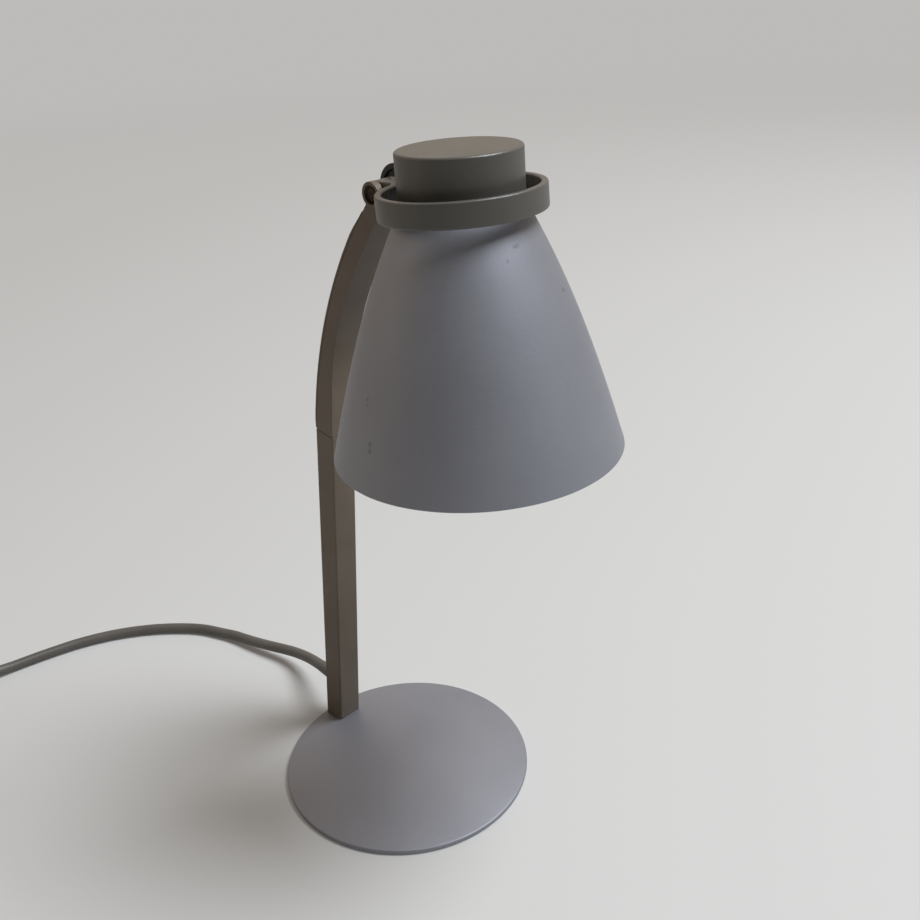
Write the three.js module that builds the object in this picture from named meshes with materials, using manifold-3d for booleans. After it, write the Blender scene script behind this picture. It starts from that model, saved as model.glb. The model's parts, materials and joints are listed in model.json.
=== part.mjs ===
// A small desk lamp: a domed round base, a leaning arm whose upper half curves forward, a collar ring
// that tilts at the arm's tip, and a bell shade that swings on two pegs inside the ring.
// Millimetres, +Z up. The origin is the centre of the base on the table, and the lamp faces -Y.

import * as THREE from "three";
import { mergeVertices } from "three/addons/utils/BufferGeometryUtils.js";
import Module from "manifold-3d";

const wasm = await Module();
wasm.setup();

// Driving dimensions. Lengths are in millimetres and angles in degrees.

const gap = 0.3; // left between two pieces that touch
const through = 1; // how far a cutting tool runs past the face it opens

const facets = { round: 44, medium: 24, small: 12, tube: 8, lead: 6, corner: 2, perRib: 3, dome: 4 };
const spans = { armLead: 30, headLead: 18, toSwitch: 44, toCoil: 8, toPlug: 4, leadInArc: 6 };

const base = { radius: 70, edge: 2.7, rise: 6.5, sheet: 1.2, lift: 0.4, edgeRound: 0.8 };
const weight = { inset: 10 };
const pad = { inset: 4, thickness: 1.4 };

const arm = { width: 14.4, depth: 13.9, wall: 1.5, lean: 6.6, setback: 2.4, jointHeight: 205.9 };
const curve = { radius: 255, lean: 8.6, sweep: 32, tipDepth: 10.8, easing: 60, steps: 16 };
const channel = { side: 2.2, front: 2.4 };
const strip = { thickness: 1.4, proud: 0.6, rib: 1.6, short: 8 };
const spigot = { length: 22 };
const foot = { plugHeight: 19, screwInset: 4.7, dowelInset: 9.6, dowelRadius: 1.5, grip: 14 };

const screwM4 = { shank: 2, head: 3.8, headHeight: 1.7, socket: 1.2, socketDepth: 0.9 };
const screwM3 = { shank: 1.5, head: 2.8, headHeight: 1.4, socket: 0.9, socketDepth: 0.8 };
const washer = { radius: 4, thickness: 0.6 };

const knuckle = { radius: 5.6, beyond: 3.2, inset: 1.4, sweepRoom: 10 };
const lug = { width: 7.4, reach: 49.5, roof: 1.1, cheek: 1.4 };
const bolt = { shank: 2, head: 3.6, headHeight: 1.2, recess: 4.2, recessDepth: 2 };
const knob = {
  radius: 11,
  width: 9.5,
  flutes: 18,
  fluteDepth: 0.35,
  rim: 1,
  seat: 5.4,
  seatDepth: 0.9,
  blind: 2,
  dish: 6.6,
};

const ring = { outer: 35.1, inner: 32.1, height: 10.5, lean: 3.85, edge: 0.6 };
const peg = { radius: 2.5, end: 22.3, socket: 3.6 };

const shade = {
  lean: 2,
  rimRadius: 64.6,
  neckRadius: 26.8,
  height: 104.8,
  fullness: 3.15,
  wall: 0.9,
  steps: 6,
};
const shadeSwell = { atRim: 0.72, gain: 0.56 };
const shadeTop = { below: 4, hole: 14.7, corner: 1.6 };
const cap = { radius: 26, height: 24.6, wall: 2, round: 1.3, edgeShare: 0.3 };
const capBoss = { radius: 3, reach: 21, height: 12, angle: 45 };
const capNotch = { width: 5.6, height: 11 };

const holder = {
  body: 14.9,
  skirt: 14.2,
  collar: 16.8,
  collarHeight: 2,
  bodyHeight: 17,
  skirtLength: 11,
  bore: 8,
  bevel: 1,
};
const shadeRing = { outer: 17.6, height: 6, ribs: 18, ribDepth: 0.6 };
const bulb = {
  base: 6.9,
  baseLength: 26,
  neck: 9.4,
  globe: 22.5,
  neckLength: 5.6,
  tip: 3.2,
  tipRise: 2,
  wall: 0.9,
  steps: 8,
};

const lead = { radius: 1.8, height: 2, end: 20.6 };
const relief = { exitHeight: 30, droop: 17, yaw: 12, root: 4.3, tip: 3.6, length: 20.5 };
const reliefHold = { neck: 3.6, flange: 5, flangeHeight: 1.2 };
const cord = { radius: 3.35 };
const coil = {
  x: -286,
  y: 219.8,
  turnRadius: 38.5,
  across: 3,
  layers: 2,
  lift: 1.1,
  round: 2,
  clear: 1.4,
  leaveHeight: 9.3,
};
const tie = { width: 5, thickness: 0.8, angle: 150 };

const inline = { x: -195, y: 265, length: 60, width: 25, height: 18, split: 8.4, cordHeight: 9, wall: 1.6 };
const inlineEdge = { round: 6, bevel: 1.4, grip: 5 };
const inlineScrew = { across: 7, along: 19, boss: 4.2, sink: 2.2, grip: 9 };
const rocker = {
  length: 15,
  width: 9,
  proud: 1.9,
  depth: 5.6,
  tilt: 7,
  pivotDepth: 3.4,
  pinRadius: 1.1,
  pinLength: 1.4,
};
const plug = { tailX: -236, length: 36, width: 35, tailWidth: 16, height: 14, bevel: 2 };
const plugRelief = { length: 14, root: 5.6, tip: 4.4, overlap: 3 };
const pin = { radius: 2, length: 19, spacing: 18.6, depth: 12, nose: 0.8 };

// The cord's free route, by hand: from the strain relief down to the table and along it to the switch.
const routeToSwitch = [
  [7.9, 100.3, 18.2],
  [9.8, 111.3, 14.4],
  [10.1, 123.3, 11.2],
  [8.8, 133.1, 9.2],
  [6.6, 141.8, 8],
  [4.3, 150.5, 7],
  [2.1, 159.5, 6],
  [0.1, 168.9, 5],
  [-2.1, 178.1, 4.3],
  [-5.4, 187, 3.7],
  [-12.9, 203.3, 3.45],
  [-24.4, 217.8, 3.45],
  [-38.9, 231.2, 3.45],
  [-57.3, 243.5, 3.45],
  [-79.6, 253.3, 3.45],
  [-104, 259.4, 3.45],
  [-128, 263.2, 3.9],
  [-146, 264.6, 6.6],
];
const routeToCoil = [[-247, 265, 6.2]];

// The head lead's points, by hand: [out, up] from the hinge barrel's underside, then from the band.
const leadRoundBarrel = [
  [1.5, 0],
  [-2.6, 0.3],
  [-6.2, 2.6],
  [-9.6, 6.1],
];
const leadThroughBand = [
  [6, -0.4],
  [2, 0],
  [-2, 0],
];

// Materials, with the colours of the finished lamp.

function finish(color, roughness, metalness = 0) {
  return new THREE.MeshStandardMaterial({ color, roughness, metalness });
}

const greyPaint = finish(0x85868f, 0.45, 0.3);
const taupePlastic = finish(0x575045, 0.55);
const olivePlastic = finish(0x6e6e66, 0.6);
const darkPlastic = finish(0x33322f, 0.6);
const steel = finish(0x9a9c9e, 0.35, 0.9);
const blackSteel = finish(0x2a2826, 0.5, 0.6);
const castIron = finish(0x3a3a3c, 0.8, 0.5);
const foam = finish(0x29292a, 0.95);
const whitePlastic = finish(0xd9d7d0, 0.5);
const leadRubber = finish(0x3b3a38, 0.6);
const cordPvc = finish(0x4c4a47, 0.55);
const frostedGlass = finish(0xf2f0ea, 0.3);

// Geometry helpers

function radians(degrees) {
  return (degrees * Math.PI) / 180;
}

// A closed three.js geometry as a solid that can be joined and cut.
function toSolid(geometry) {
  const bare = geometry.index ? geometry.toNonIndexed() : geometry.clone();
  bare.deleteAttribute("normal");
  bare.deleteAttribute("uv");
  const merged = mergeVertices(bare, 1e-4);
  return new wasm.Manifold(
    new wasm.Mesh({
      numProp: 3,
      vertProperties: merged.attributes.position.array,
      triVerts: new Uint32Array(merged.index.array),
    }),
  );
}

function toGeometry(solid) {
  const mesh = solid.getMesh();
  const geometry = new THREE.BufferGeometry();
  geometry.setAttribute("position", new THREE.BufferAttribute(mesh.vertProperties, 3));
  geometry.setIndex(new THREE.BufferAttribute(mesh.triVerts, 1));
  const flat = geometry.toNonIndexed();
  flat.computeVertexNormals();
  return flat;
}

function join(first, ...others) {
  return toGeometry(others.reduce((sum, next) => sum.add(toSolid(next)), toSolid(first)));
}

function cut(body, ...tools) {
  return toGeometry(tools.reduce((rest, tool) => rest.subtract(toSolid(tool)), toSolid(body)));
}

// Turns a profile of [radius, height] points round Z. It runs out, up and back in.
function revolve(profile, segments = facets.round) {
  const points = profile.map(([radius, height]) => new THREE.Vector2(radius, height));
  return new THREE.LatheGeometry(points, segments).rotateX(Math.PI / 2);
}

// A cylinder along Z from one height to another.
function post(radius, low, high, segments = facets.small) {
  const geometry = new THREE.CylinderGeometry(radius, radius, high - low, segments);
  return geometry.rotateX(Math.PI / 2).translate(0, 0, (low + high) / 2);
}

// A cylinder along X from one place to another.
function crossPost(radius, from, to, segments = facets.small) {
  return post(radius, from, to, segments).rotateY(Math.PI / 2);
}

// The same, with its two ends given in either order.
function sidePost(radius, one, other, segments) {
  return crossPost(radius, Math.min(one, other), Math.max(one, other), segments);
}

// A block between two corners.
function block(low, high) {
  const size = high.map((value, i) => value - low[i]);
  const middle = high.map((value, i) => (value + low[i]) / 2);
  return new THREE.BoxGeometry(...size).translate(...middle);
}

// A side view, drawn in (y, z), given a width across X about the middle.
function acrossX(shape, width) {
  const along = new THREE.Matrix4().makeBasis(
    new THREE.Vector3(0, 1, 0),
    new THREE.Vector3(0, 0, 1),
    new THREE.Vector3(1, 0, 0),
  );
  return new THREE.ExtrudeGeometry(shape, {
    depth: width,
    bevelEnabled: false,
    curveSegments: facets.corner,
  })
    .translate(0, 0, -width / 2)
    .applyMatrix4(along);
}

function polygon(points) {
  return new THREE.Shape(points.map(([x, y]) => new THREE.Vector2(x, y)));
}

function circleShape(radius, sides) {
  const corners = Array.from({ length: sides }, (_, i) => (2 * Math.PI * i) / sides);
  return polygon(corners.map((angle) => [radius * Math.cos(angle), radius * Math.sin(angle)]));
}

// A rectangle with round corners, centred on the origin.
function roundedRectangle(length, width, radius) {
  const x = length / 2 - radius;
  const y = width / 2 - radius;
  const shape = new THREE.Shape();
  shape.absarc(x, y, radius, 0, Math.PI / 2);
  shape.absarc(-x, y, radius, Math.PI / 2, Math.PI);
  shape.absarc(-x, -y, radius, Math.PI, 1.5 * Math.PI);
  shape.absarc(x, -y, radius, 1.5 * Math.PI, 2 * Math.PI);
  return shape;
}

// A plate with bevelled edges between two heights, whose outline is the shape itself.
function bevelledPlate(shape, low, high, bevel) {
  return new THREE.ExtrudeGeometry(shape, {
    depth: high - low - 2 * bevel,
    bevelThickness: bevel,
    bevelSize: bevel,
    bevelOffset: -bevel,
    bevelSegments: 2,
    curveSegments: facets.corner,
  }).translate(0, 0, low + bevel);
}

function tube(points, radius, steps, sides = facets.tube) {
  const path = new THREE.CatmullRomCurve3(points.map((point) => new THREE.Vector3(...point)));
  return new THREE.ExtrudeGeometry(circleShape(radius, sides), {
    steps,
    extrudePath: path,
    bevelEnabled: false,
  });
}

// A screw that points up, with the underside of its head at height 0.
function screw(size, length) {
  const body = revolve(
    [
      [0, -size.headHeight],
      [size.head - size.headHeight / 3, -size.headHeight],
      [size.head, -size.headHeight * (2 / 3)],
      [size.head, 0],
      [size.shank, 0],
      [size.shank, length - size.shank],
      [size.shank / 2, length],
      [0, length],
    ],
    facets.small,
  );
  const socketFloor = size.socketDepth - size.headHeight;
  return cut(body, post(size.socket, -size.headHeight - through, socketFloor, 6));
}

const lamp = new THREE.Group();

function place(group, name, geometry, material) {
  const mesh = new THREE.Mesh(geometry, material);
  mesh.name = name;
  group.add(mesh);
  return mesh;
}

// Base: a pressed steel cover over a cast weight, on a foam pad

function domeHeight(radius) {
  return base.edge + base.rise * (1 - (radius / base.radius) ** 2);
}

function domeProfile(outerRadius, offset, steps = facets.dome) {
  return Array.from({ length: steps + 1 }, (_, i) => {
    const radius = outerRadius * (1 - i / steps);
    return [radius, domeHeight(radius) + offset];
  });
}

const lean = radians(arm.lean);
const footBack = base.radius - arm.setback;
const footScrewY = footBack - arm.wall - foot.screwInset - arm.depth / 4;
const footDowelY = footScrewY + foot.dowelInset - foot.screwInset;

function coverGeometry() {
  const shell = revolve([
    ...domeProfile(base.radius - base.sheet, -base.sheet).reverse(),
    [base.radius - base.sheet, base.lift],
    [base.radius, base.lift],
    [base.radius, base.edge - base.edgeRound],
    ...domeProfile(base.radius - base.edgeRound, 0),
  ]);
  return cut(
    shell,
    post(screwM4.shank + gap, 0, 2 * base.rise).translate(0, footScrewY, 0),
    post(foot.dowelRadius + gap, 0, 2 * base.rise).translate(0, footDowelY, 0),
  );
}

function weightGeometry() {
  const bottom = pad.thickness + gap;
  const radius = base.radius - weight.inset;
  const under = domeProfile(radius, -base.sheet - gap);
  const disc = revolve([[0, bottom], [radius, bottom], ...under]);
  const screwRoom = post(washer.radius + 2 * gap, 0, 2 * base.rise).translate(0, footScrewY, 0);
  const dowelRoom = post(foot.dowelRadius + 2 * gap, 0, 2 * base.rise).translate(0, footDowelY, 0);
  return cut(disc, screwRoom, dowelRoom);
}

function padGeometry() {
  const disc = post(base.radius - pad.inset, 0, pad.thickness, facets.round);
  return cut(disc, post(washer.radius + 1, -through, pad.thickness + through).translate(0, footScrewY, 0));
}

place(lamp, "base_cover", coverGeometry(), greyPaint);
place(lamp, "base_weight", weightGeometry(), castIron);
place(lamp, "base_pad", padGeometry(), foam);

// Arm. Its lower bar leans, and its upper half follows an arc. Both are drawn in (y, z).

const armFoot = [footBack, 0];
const alongLower = [-Math.sin(lean), Math.cos(lean)];
const intoLower = [-Math.cos(lean), -Math.sin(lean)];
const lowerLength = arm.jointHeight / Math.cos(lean);

// A point of the lower bar: a distance up from the foot, and a depth in from the back face.
function lowerPoint(up, depth) {
  return [
    armFoot[0] + up * alongLower[0] + depth * intoLower[0],
    armFoot[1] + up * alongLower[1] + depth * intoLower[1],
  ];
}

// A stretch of the lower bar seen from the side, with its front and back faces moved in.
function lowerOutline(from, to, inset) {
  return [
    lowerPoint(from, inset),
    lowerPoint(to, inset),
    lowerPoint(to, arm.depth - inset),
    lowerPoint(from, arm.depth - inset),
  ];
}

// The upper half's back face starts this far behind the lower bar's.
const curveStart = lowerPoint(lowerLength, -strip.proud);

// A point of the upper half: an angle round its arc, and a depth in from the back face.
function upperPoint(angle, depth) {
  const start = radians(curve.lean);
  const here = start + angle;
  const y = curveStart[0] + curve.radius * (Math.cos(here) - Math.cos(start)) - depth * Math.cos(here);
  const z = curveStart[1] + curve.radius * (Math.sin(here) - Math.sin(start)) - depth * Math.sin(here);
  return [y, z];
}

const curveEnd = radians(curve.sweep);

// The upper half thins from the lower bar's depth to the tip's over a short way.
function upperDepth(angle) {
  const done = Math.min(1, (angle * curve.radius) / curve.easing);
  const eased = done * done * (3 - 2 * done);
  return arm.depth + strip.proud + eased * (curve.tipDepth - arm.depth - strip.proud);
}

function arcSteps(from, to, steps = curve.steps) {
  return Array.from({ length: steps + 1 }, (_, i) => from + ((to - from) * i) / steps);
}

// The hinge's axis, near the back of the tip.
const endLean = radians(curve.lean + curve.sweep);
const tipBack = upperPoint(curveEnd, 0);
const hinge = [
  tipBack[0] - knuckle.beyond * Math.sin(endLean) - knuckle.inset * Math.cos(endLean),
  tipBack[1] + knuckle.beyond * Math.cos(endLean) - knuckle.inset * Math.sin(endLean),
];

// Turns a piece drawn along Z so that it stands out of the lower bar's back face at a point of it.
function onBackFace(geometry, point) {
  return geometry.rotateX(lean - Math.PI / 2).translate(0, ...point);
}

function footCutter() {
  return revolve([[0, -base.rise], [base.radius, -base.rise], ...domeProfile(base.radius, gap)]);
}

function lowerArmGeometry() {
  const outline = lowerOutline(0, lowerLength, 0);
  const hollow = lowerOutline(-through, lowerLength + through, arm.wall);
  const cordHole = onBackFace(post(reliefHold.neck + gap, -arm.depth / 2, arm.depth / 2), reliefRoot);
  return cut(
    acrossX(polygon(outline), arm.width),
    acrossX(polygon(hollow), arm.width - 2 * arm.wall),
    footCutter(),
    cordHole,
    jointScrewHole(),
  );
}

function footPlugGeometry() {
  const inset = arm.wall + gap;
  const top = foot.plugHeight / Math.cos(lean);
  const outline = lowerOutline(0, top, inset);
  const dowelLow = domeHeight(footDowelY) - base.sheet;
  const dowel = post(foot.dowelRadius, dowelLow, foot.plugHeight / 2).translate(0, footDowelY, 0);
  const body = cut(acrossX(polygon(outline), arm.width - 2 * inset), footCutter());
  const screwHole = post(screwM4.shank + gap, -through, foot.grip + 2 * gap).translate(0, footScrewY, 0);
  return cut(join(body, dowel), screwHole);
}

function washerGeometry() {
  return cut(
    post(washer.radius, 0, washer.thickness),
    post(screwM4.shank + gap, -through, washer.thickness + through),
  );
}

const reliefRoot = lowerPoint((relief.exitHeight - armFoot[1]) / Math.cos(lean), 0);

// The screw that holds the two halves of the arm lies in the back, half way up the spigot.
const jointScrewAt = lowerPoint(lowerLength - spigot.length / 2, 0);

function jointScrewHole() {
  return onBackFace(post(screwM3.shank + gap, -2 * arm.wall, 2 * arm.wall), jointScrewAt);
}

place(lamp, "arm_lower_bar", lowerArmGeometry(), taupePlastic);
place(lamp, "foot_plug", footPlugGeometry(), taupePlastic);

const washerTop = domeHeight(footScrewY + washer.radius) - base.sheet - gap;
place(lamp, "foot_washer", washerGeometry(), steel).position.set(0, footScrewY, washerTop - washer.thickness);
place(lamp, "foot_screw", screw(screwM4, foot.grip - washerTop), steel).position.set(
  0,
  footScrewY,
  washerTop - washer.thickness - gap / 3,
);

// The upper half: a channel that opens at the back, with a spigot below and a forked knuckle at the tip.
function upperArmGeometry() {
  const backDepth = strip.thickness + gap;
  const angles = arcSteps(0, curveEnd);
  const outline = [
    ...angles.map((angle) => upperPoint(angle, backDepth)),
    ...angles.map((angle) => upperPoint(angle, upperDepth(angle))).reverse(),
  ];
  const bar = acrossX(polygon(outline), arm.width);

  const inset = arm.wall + gap;
  const spigotOutline = [
    lowerPoint(lowerLength - spigot.length, inset),
    lowerPoint(lowerLength + arm.depth / 2, inset + strip.thickness),
    lowerPoint(lowerLength + arm.depth / 2, arm.depth - inset),
    lowerPoint(lowerLength - spigot.length, arm.depth - inset),
  ];
  const plugIn = acrossX(polygon(spigotOutline), arm.width - 2 * inset);
  const seatCut = acrossX(
    polygon([
      lowerPoint(lowerLength - arm.depth, -arm.depth),
      lowerPoint(lowerLength + gap, -arm.depth),
      lowerPoint(lowerLength + gap, 2 * arm.depth),
      lowerPoint(lowerLength - arm.depth, 2 * arm.depth),
    ]),
    arm.width + 2 * through,
  );

  // The knuckle is a round barrel, blended to the corners of the bar's end.
  const corner = upperPoint(curveEnd, curve.tipDepth);
  const below = upperPoint(curveEnd - knuckle.radius / curve.radius, backDepth);
  const bearing = Math.atan2(corner[1] - hinge[1], corner[0] - hinge[0]);
  const reach = Math.hypot(corner[0] - hinge[0], corner[1] - hinge[1]);
  const opening = Math.acos(knuckle.radius / reach);
  const touch = [
    hinge[0] + knuckle.radius * Math.cos(bearing - opening),
    hinge[1] + knuckle.radius * Math.sin(bearing - opening),
  ];
  const web = acrossX(polygon([hinge, touch, corner, below]), arm.width);
  const edge = arm.width / 2;
  const barrel = crossPost(knuckle.radius, -edge, edge, facets.medium).translate(0, ...hinge);

  const groove = acrossX(
    polygon([
      ...arcSteps(0, curveEnd * 1.1).map((angle) => upperPoint(angle, -through)),
      ...arcSteps(0, curveEnd * 1.1)
        .map((angle) => upperPoint(angle, upperDepth(angle) - channel.front))
        .reverse(),
      lowerPoint(lowerLength - spigot.length - through, arm.depth - inset - channel.front),
      lowerPoint(lowerLength - spigot.length - through, inset + channel.front),
      lowerPoint(lowerLength - through, inset + channel.front),
    ]),
    arm.width - 2 * channel.side,
  );
  const slot = crossPost(knuckle.sweepRoom, -lug.width / 2 - gap, lug.width / 2 + gap, facets.medium);
  const boltHole = crossPost(bolt.shank + gap, -arm.width, arm.width).translate(0, ...hinge);
  const recess = crossPost(bolt.recess, -edge - through, bolt.recessDepth - edge, facets.medium);

  const barSeated = cut(bar, seatCut);
  const grooved = cut(join(barSeated, plugIn), groove);
  const screwPilot = onBackFace(post(screwM3.shank + gap / 3, -arm.depth / 2, arm.depth), jointScrewAt);
  return cut(
    join(grooved, web, barrel),
    slot.translate(0, ...hinge),
    boltHole,
    recess.translate(0, ...hinge),
    screwPilot,
  );
}

// The strip that closes the channel's back, with a rib that snaps between its sides.
function backStripGeometry() {
  const start = (2 * gap) / curve.radius;
  const end = curveEnd - strip.short / curve.radius;
  const angles = arcSteps(start, end);
  const plate = acrossX(
    polygon([
      ...angles.map((angle) => upperPoint(angle, 0)),
      ...angles.map((angle) => upperPoint(angle, strip.thickness)).reverse(),
    ]),
    arm.width,
  );
  const ribAngles = arcSteps(spigot.length / curve.radius, end - strip.short / curve.radius);
  const rib = acrossX(
    polygon([
      ...ribAngles.map((angle) => upperPoint(angle, strip.thickness / 2)),
      ...ribAngles.map((angle) => upperPoint(angle, strip.thickness + strip.rib)).reverse(),
    ]),
    arm.width - 2 * channel.side - 2 * gap,
  );
  return join(plate, rib);
}

function jointScrewGeometry() {
  const standing = screw(screwM3, arm.wall + channel.front + gap).rotateX(Math.PI);
  return onBackFace(standing.translate(0, 0, gap), jointScrewAt);
}

place(lamp, "arm_upper_channel", upperArmGeometry(), taupePlastic);
place(lamp, "arm_back_strip", backStripGeometry(), taupePlastic);
place(lamp, "arm_joint_screw", jointScrewGeometry(), steel);

// The lead inside the arm, from the strain relief to the fork.
function armLeadGeometry() {
  const middle = arm.depth / 2;
  const entry = relief.exitHeight / Math.cos(lean);
  const upperMiddle = (angle) => upperDepth(angle) - channel.front - lead.radius - gap;
  const last = curveEnd - (knuckle.sweepRoom - knuckle.beyond + lead.radius) / curve.radius;
  const route = [
    lowerPoint(entry + lead.radius, arm.wall + reliefHold.flangeHeight + lead.radius + gap),
    lowerPoint(entry + 2 * lead.radius, middle - gap),
    lowerPoint(entry + 4 * lead.radius, middle),
    lowerPoint(lowerLength / 2, middle),
    lowerPoint(lowerLength, middle),
    ...arcSteps(last / spans.leadInArc, last, spans.leadInArc).map((angle) =>
      upperPoint(angle, upperMiddle(angle)),
    ),
  ];
  return tube(
    route.map(([y, z]) => [0, y, z]),
    lead.radius,
    spans.armLead,
    facets.lead,
  );
}

place(lamp, "arm_lead", armLeadGeometry(), leadRubber);

// Hinge hardware: a bolt whose head sits in the left cheek, and a fluted knob on the right

function hingeBoltGeometry(from, to) {
  const head = crossPost(bolt.head, from, from + bolt.headHeight, 6);
  return join(head, crossPost(bolt.shank, from + bolt.headHeight / 2, to));
}

function knobGeometry() {
  const sides = knob.flutes * facets.perRib;
  const outline = Array.from({ length: sides }, (_, i) => {
    const angle = (2 * Math.PI * i) / sides;
    const radius = knob.radius - knob.rim / 2 - (knob.fluteDepth / 2) * (1 + Math.cos(knob.flutes * angle));
    return [radius * Math.cos(angle), radius * Math.sin(angle)];
  });
  const body = new THREE.ExtrudeGeometry(polygon(outline), {
    depth: knob.width - knob.rim,
    bevelThickness: knob.rim / 2,
    bevelSize: knob.rim / 2,
    bevelSegments: 1,
  }).translate(0, 0, knob.rim / 2);
  const seat = post(knob.seat, -through, knob.seatDepth);
  const threaded = post(bolt.shank + gap / 3, -through, knob.width - knob.blind);
  const dish = post(knob.dish, knob.width - knob.rim / 2, knob.width + through, facets.medium);
  return cut(body, seat, threaded, dish).rotateY(Math.PI / 2);
}

const armSide = arm.width / 2;
const knobFace = armSide + gap;
const boltStart = -armSide + bolt.recessDepth - bolt.headHeight - gap / 3;
const boltEnd = knobFace + knob.width - knob.blind - gap;
place(lamp, "hinge_bolt", hingeBoltGeometry(boltStart, boltEnd), blackSteel).position.set(0, ...hinge);
place(lamp, "hinge_washer", washerGeometry().rotateY(Math.PI / 2), steel).position.set(
  armSide + gap / 2,
  ...hinge,
);
place(lamp, "hinge_knob", knobGeometry(), darkPlastic).position.set(knobFace, ...hinge);

// Collar ring, drawn about the centre of its band: the lug points back to the hinge

const ringLean = radians(ring.lean);
const pivot = [hinge[0] - lug.reach * Math.cos(ringLean), hinge[1] + lug.reach * Math.sin(ringLean)];

const ringGroup = new THREE.Group();
ringGroup.position.set(0, ...pivot);
ringGroup.rotation.x = -ringLean;
lamp.add(ringGroup);

function collarRingGeometry() {
  const half = ring.height / 2;
  const band = revolve([
    [ring.inner, -half + ring.edge],
    [ring.inner + ring.edge, -half],
    [ring.outer - ring.edge, -half],
    [ring.outer, -half + ring.edge],
    [ring.outer, half - ring.edge],
    [ring.outer - ring.edge, half],
    [ring.inner + ring.edge, half],
    [ring.inner, half - ring.edge],
    [ring.inner, -half + ring.edge],
  ]);
  const middle = (ring.inner + ring.outer) / 2;
  const beam = block([-lug.width / 2, middle, -half], [lug.width / 2, lug.reach, half]);
  const barrel = crossPost(knuckle.radius - gap / 3, -lug.width / 2, lug.width / 2, facets.medium);
  const pegs = [-1, 1].map((side) => sidePost(peg.radius, side * middle, side * peg.end));
  const leadSide = lug.width / 2 - lug.cheek;
  const leadRoom = block(
    [-leadSide, ring.outer - ring.edge, -half - through],
    [leadSide, lug.reach + through, half - lug.roof],
  );
  const leadHole = block(
    [-leadSide, ring.inner - 2 * through, lead.height - lead.radius - 2 * gap],
    [leadSide, ring.outer + through, lead.height + lead.radius + gap],
  );
  const boltHole = crossPost(bolt.shank + gap, -lug.width, lug.width).translate(0, lug.reach, 0);
  const hollow = cut(join(band, beam), leadRoom, leadHole);
  const leadPath = tube(headLeadRoute(), lead.radius + gap, spans.headLead, facets.lead);
  return cut(join(hollow, barrel.translate(0, lug.reach, 0), ...pegs), boltHole, leadPath);
}

// The lead's last stretch: round the barrel, through the lug's hollow and the ring, into the cap.
function headLeadRoute() {
  const round = knuckle.radius + lead.radius + gap;
  const route = [
    ...leadRoundBarrel.map(([out, up]) => [lug.reach + out, up - round]),
    ...leadThroughBand.map(([out, up]) => [ring.inner + out, lead.height + up]),
    [lead.end, lead.height],
  ];
  return route.map(([y, z]) => [0, y, z]);
}

place(ringGroup, "collar_ring", collarRingGeometry(), olivePlastic);
place(ringGroup, "head_lead", tube(headLeadRoute(), lead.radius, spans.headLead, facets.lead), leadRubber);

// Head, drawn about the pegs' axis: shade, cap, lampholder and bulb

const headGroup = new THREE.Group();
headGroup.position.set(0, ...pivot);
headGroup.rotation.x = -radians(shade.lean);
lamp.add(headGroup);

const shadeTopHeight = -shadeTop.below;
const rimHeight = shadeTopHeight - shade.height;

// The shade's outer radius: a cone from rim to neck, a little fuller in the middle.
function shadeRadius(height) {
  const up = (height - rimHeight) / shade.height;
  const cone = shade.rimRadius + (shade.neckRadius - shade.rimRadius) * up;
  const swell = 4 * up * (1 - up) * (shadeSwell.atRim + shadeSwell.gain * up);
  return cone + shade.fullness * swell;
}

function shadeGeometry() {
  const top = shadeTopHeight - shadeTop.corner;
  const heights = Array.from(
    { length: shade.steps + 1 },
    (_, i) => rimHeight + ((top - rimHeight) * i) / shade.steps,
  );
  const outside = heights.map((height) => [shadeRadius(height), height]);
  const inside = heights.map((height) => [shadeRadius(height) - shade.wall, height]).reverse();
  const shell = revolve([
    ...outside,
    [shade.neckRadius - shadeTop.corner / 2, shadeTopHeight],
    [shadeTop.hole, shadeTopHeight],
    [shadeTop.hole, shadeTopHeight - shade.wall],
    [shade.neckRadius - shadeTop.corner / 2 - shade.wall, shadeTopHeight - shade.wall],
    ...inside,
    outside[0],
  ]);
  const screwHoles = capScrewPlaces().map(([x, y]) =>
    post(screwM3.shank + gap, rimHeight, 0).translate(x, y, 0),
  );
  return cut(shell, ...screwHoles);
}

function capScrewPlaces() {
  return [0, Math.PI].map((turn) => {
    const angle = radians(capBoss.angle) + turn;
    return [capBoss.reach * Math.cos(angle), capBoss.reach * Math.sin(angle)];
  });
}

const capBottom = shadeTopHeight + gap;
const capTop = shadeTopHeight + cap.height;

function capGeometry() {
  const inner = cap.radius - cap.wall;
  const cup = revolve([
    [0, capTop - cap.wall],
    [inner, capTop - cap.wall],
    [inner, capBottom],
    [cap.radius, capBottom],
    [cap.radius, capTop - cap.round],
    [cap.radius - cap.round * cap.edgeShare, capTop - cap.round * cap.edgeShare],
    [cap.radius - cap.round, capTop],
    [0, capTop],
  ]);
  const bosses = capScrewPlaces().map(([x, y]) =>
    post(capBoss.radius, capBottom + capBoss.height / 4, capTop - cap.wall / 2).translate(x, y, 0),
  );
  const midWall = (inner + cap.radius) / 2;
  const sockets = [-1, 1].map((side) =>
    sidePost(peg.radius + peg.socket / 2, side * (peg.end - gap - cap.wall / 2), side * midWall),
  );
  const pegHoles = [-1, 1].map((side) =>
    sidePost(peg.radius + gap, side * (peg.end - gap), side * (cap.radius + through)),
  );
  const pilots = capScrewPlaces().map(([x, y]) =>
    post(screwM3.shank + gap / 3, capBottom - through, capTop - 2 * cap.wall).translate(x, y, 0),
  );
  const notch = block(
    [-capNotch.width / 2, inner - 2 * through, capBottom - through],
    [capNotch.width / 2, cap.radius + through, capBottom + capNotch.height],
  );
  const keepUnder = post(2 * cap.radius, rimHeight, capBottom, 12);
  return cut(join(cup, ...bosses, ...sockets), ...pegHoles, ...pilots, notch, keepUnder);
}

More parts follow.
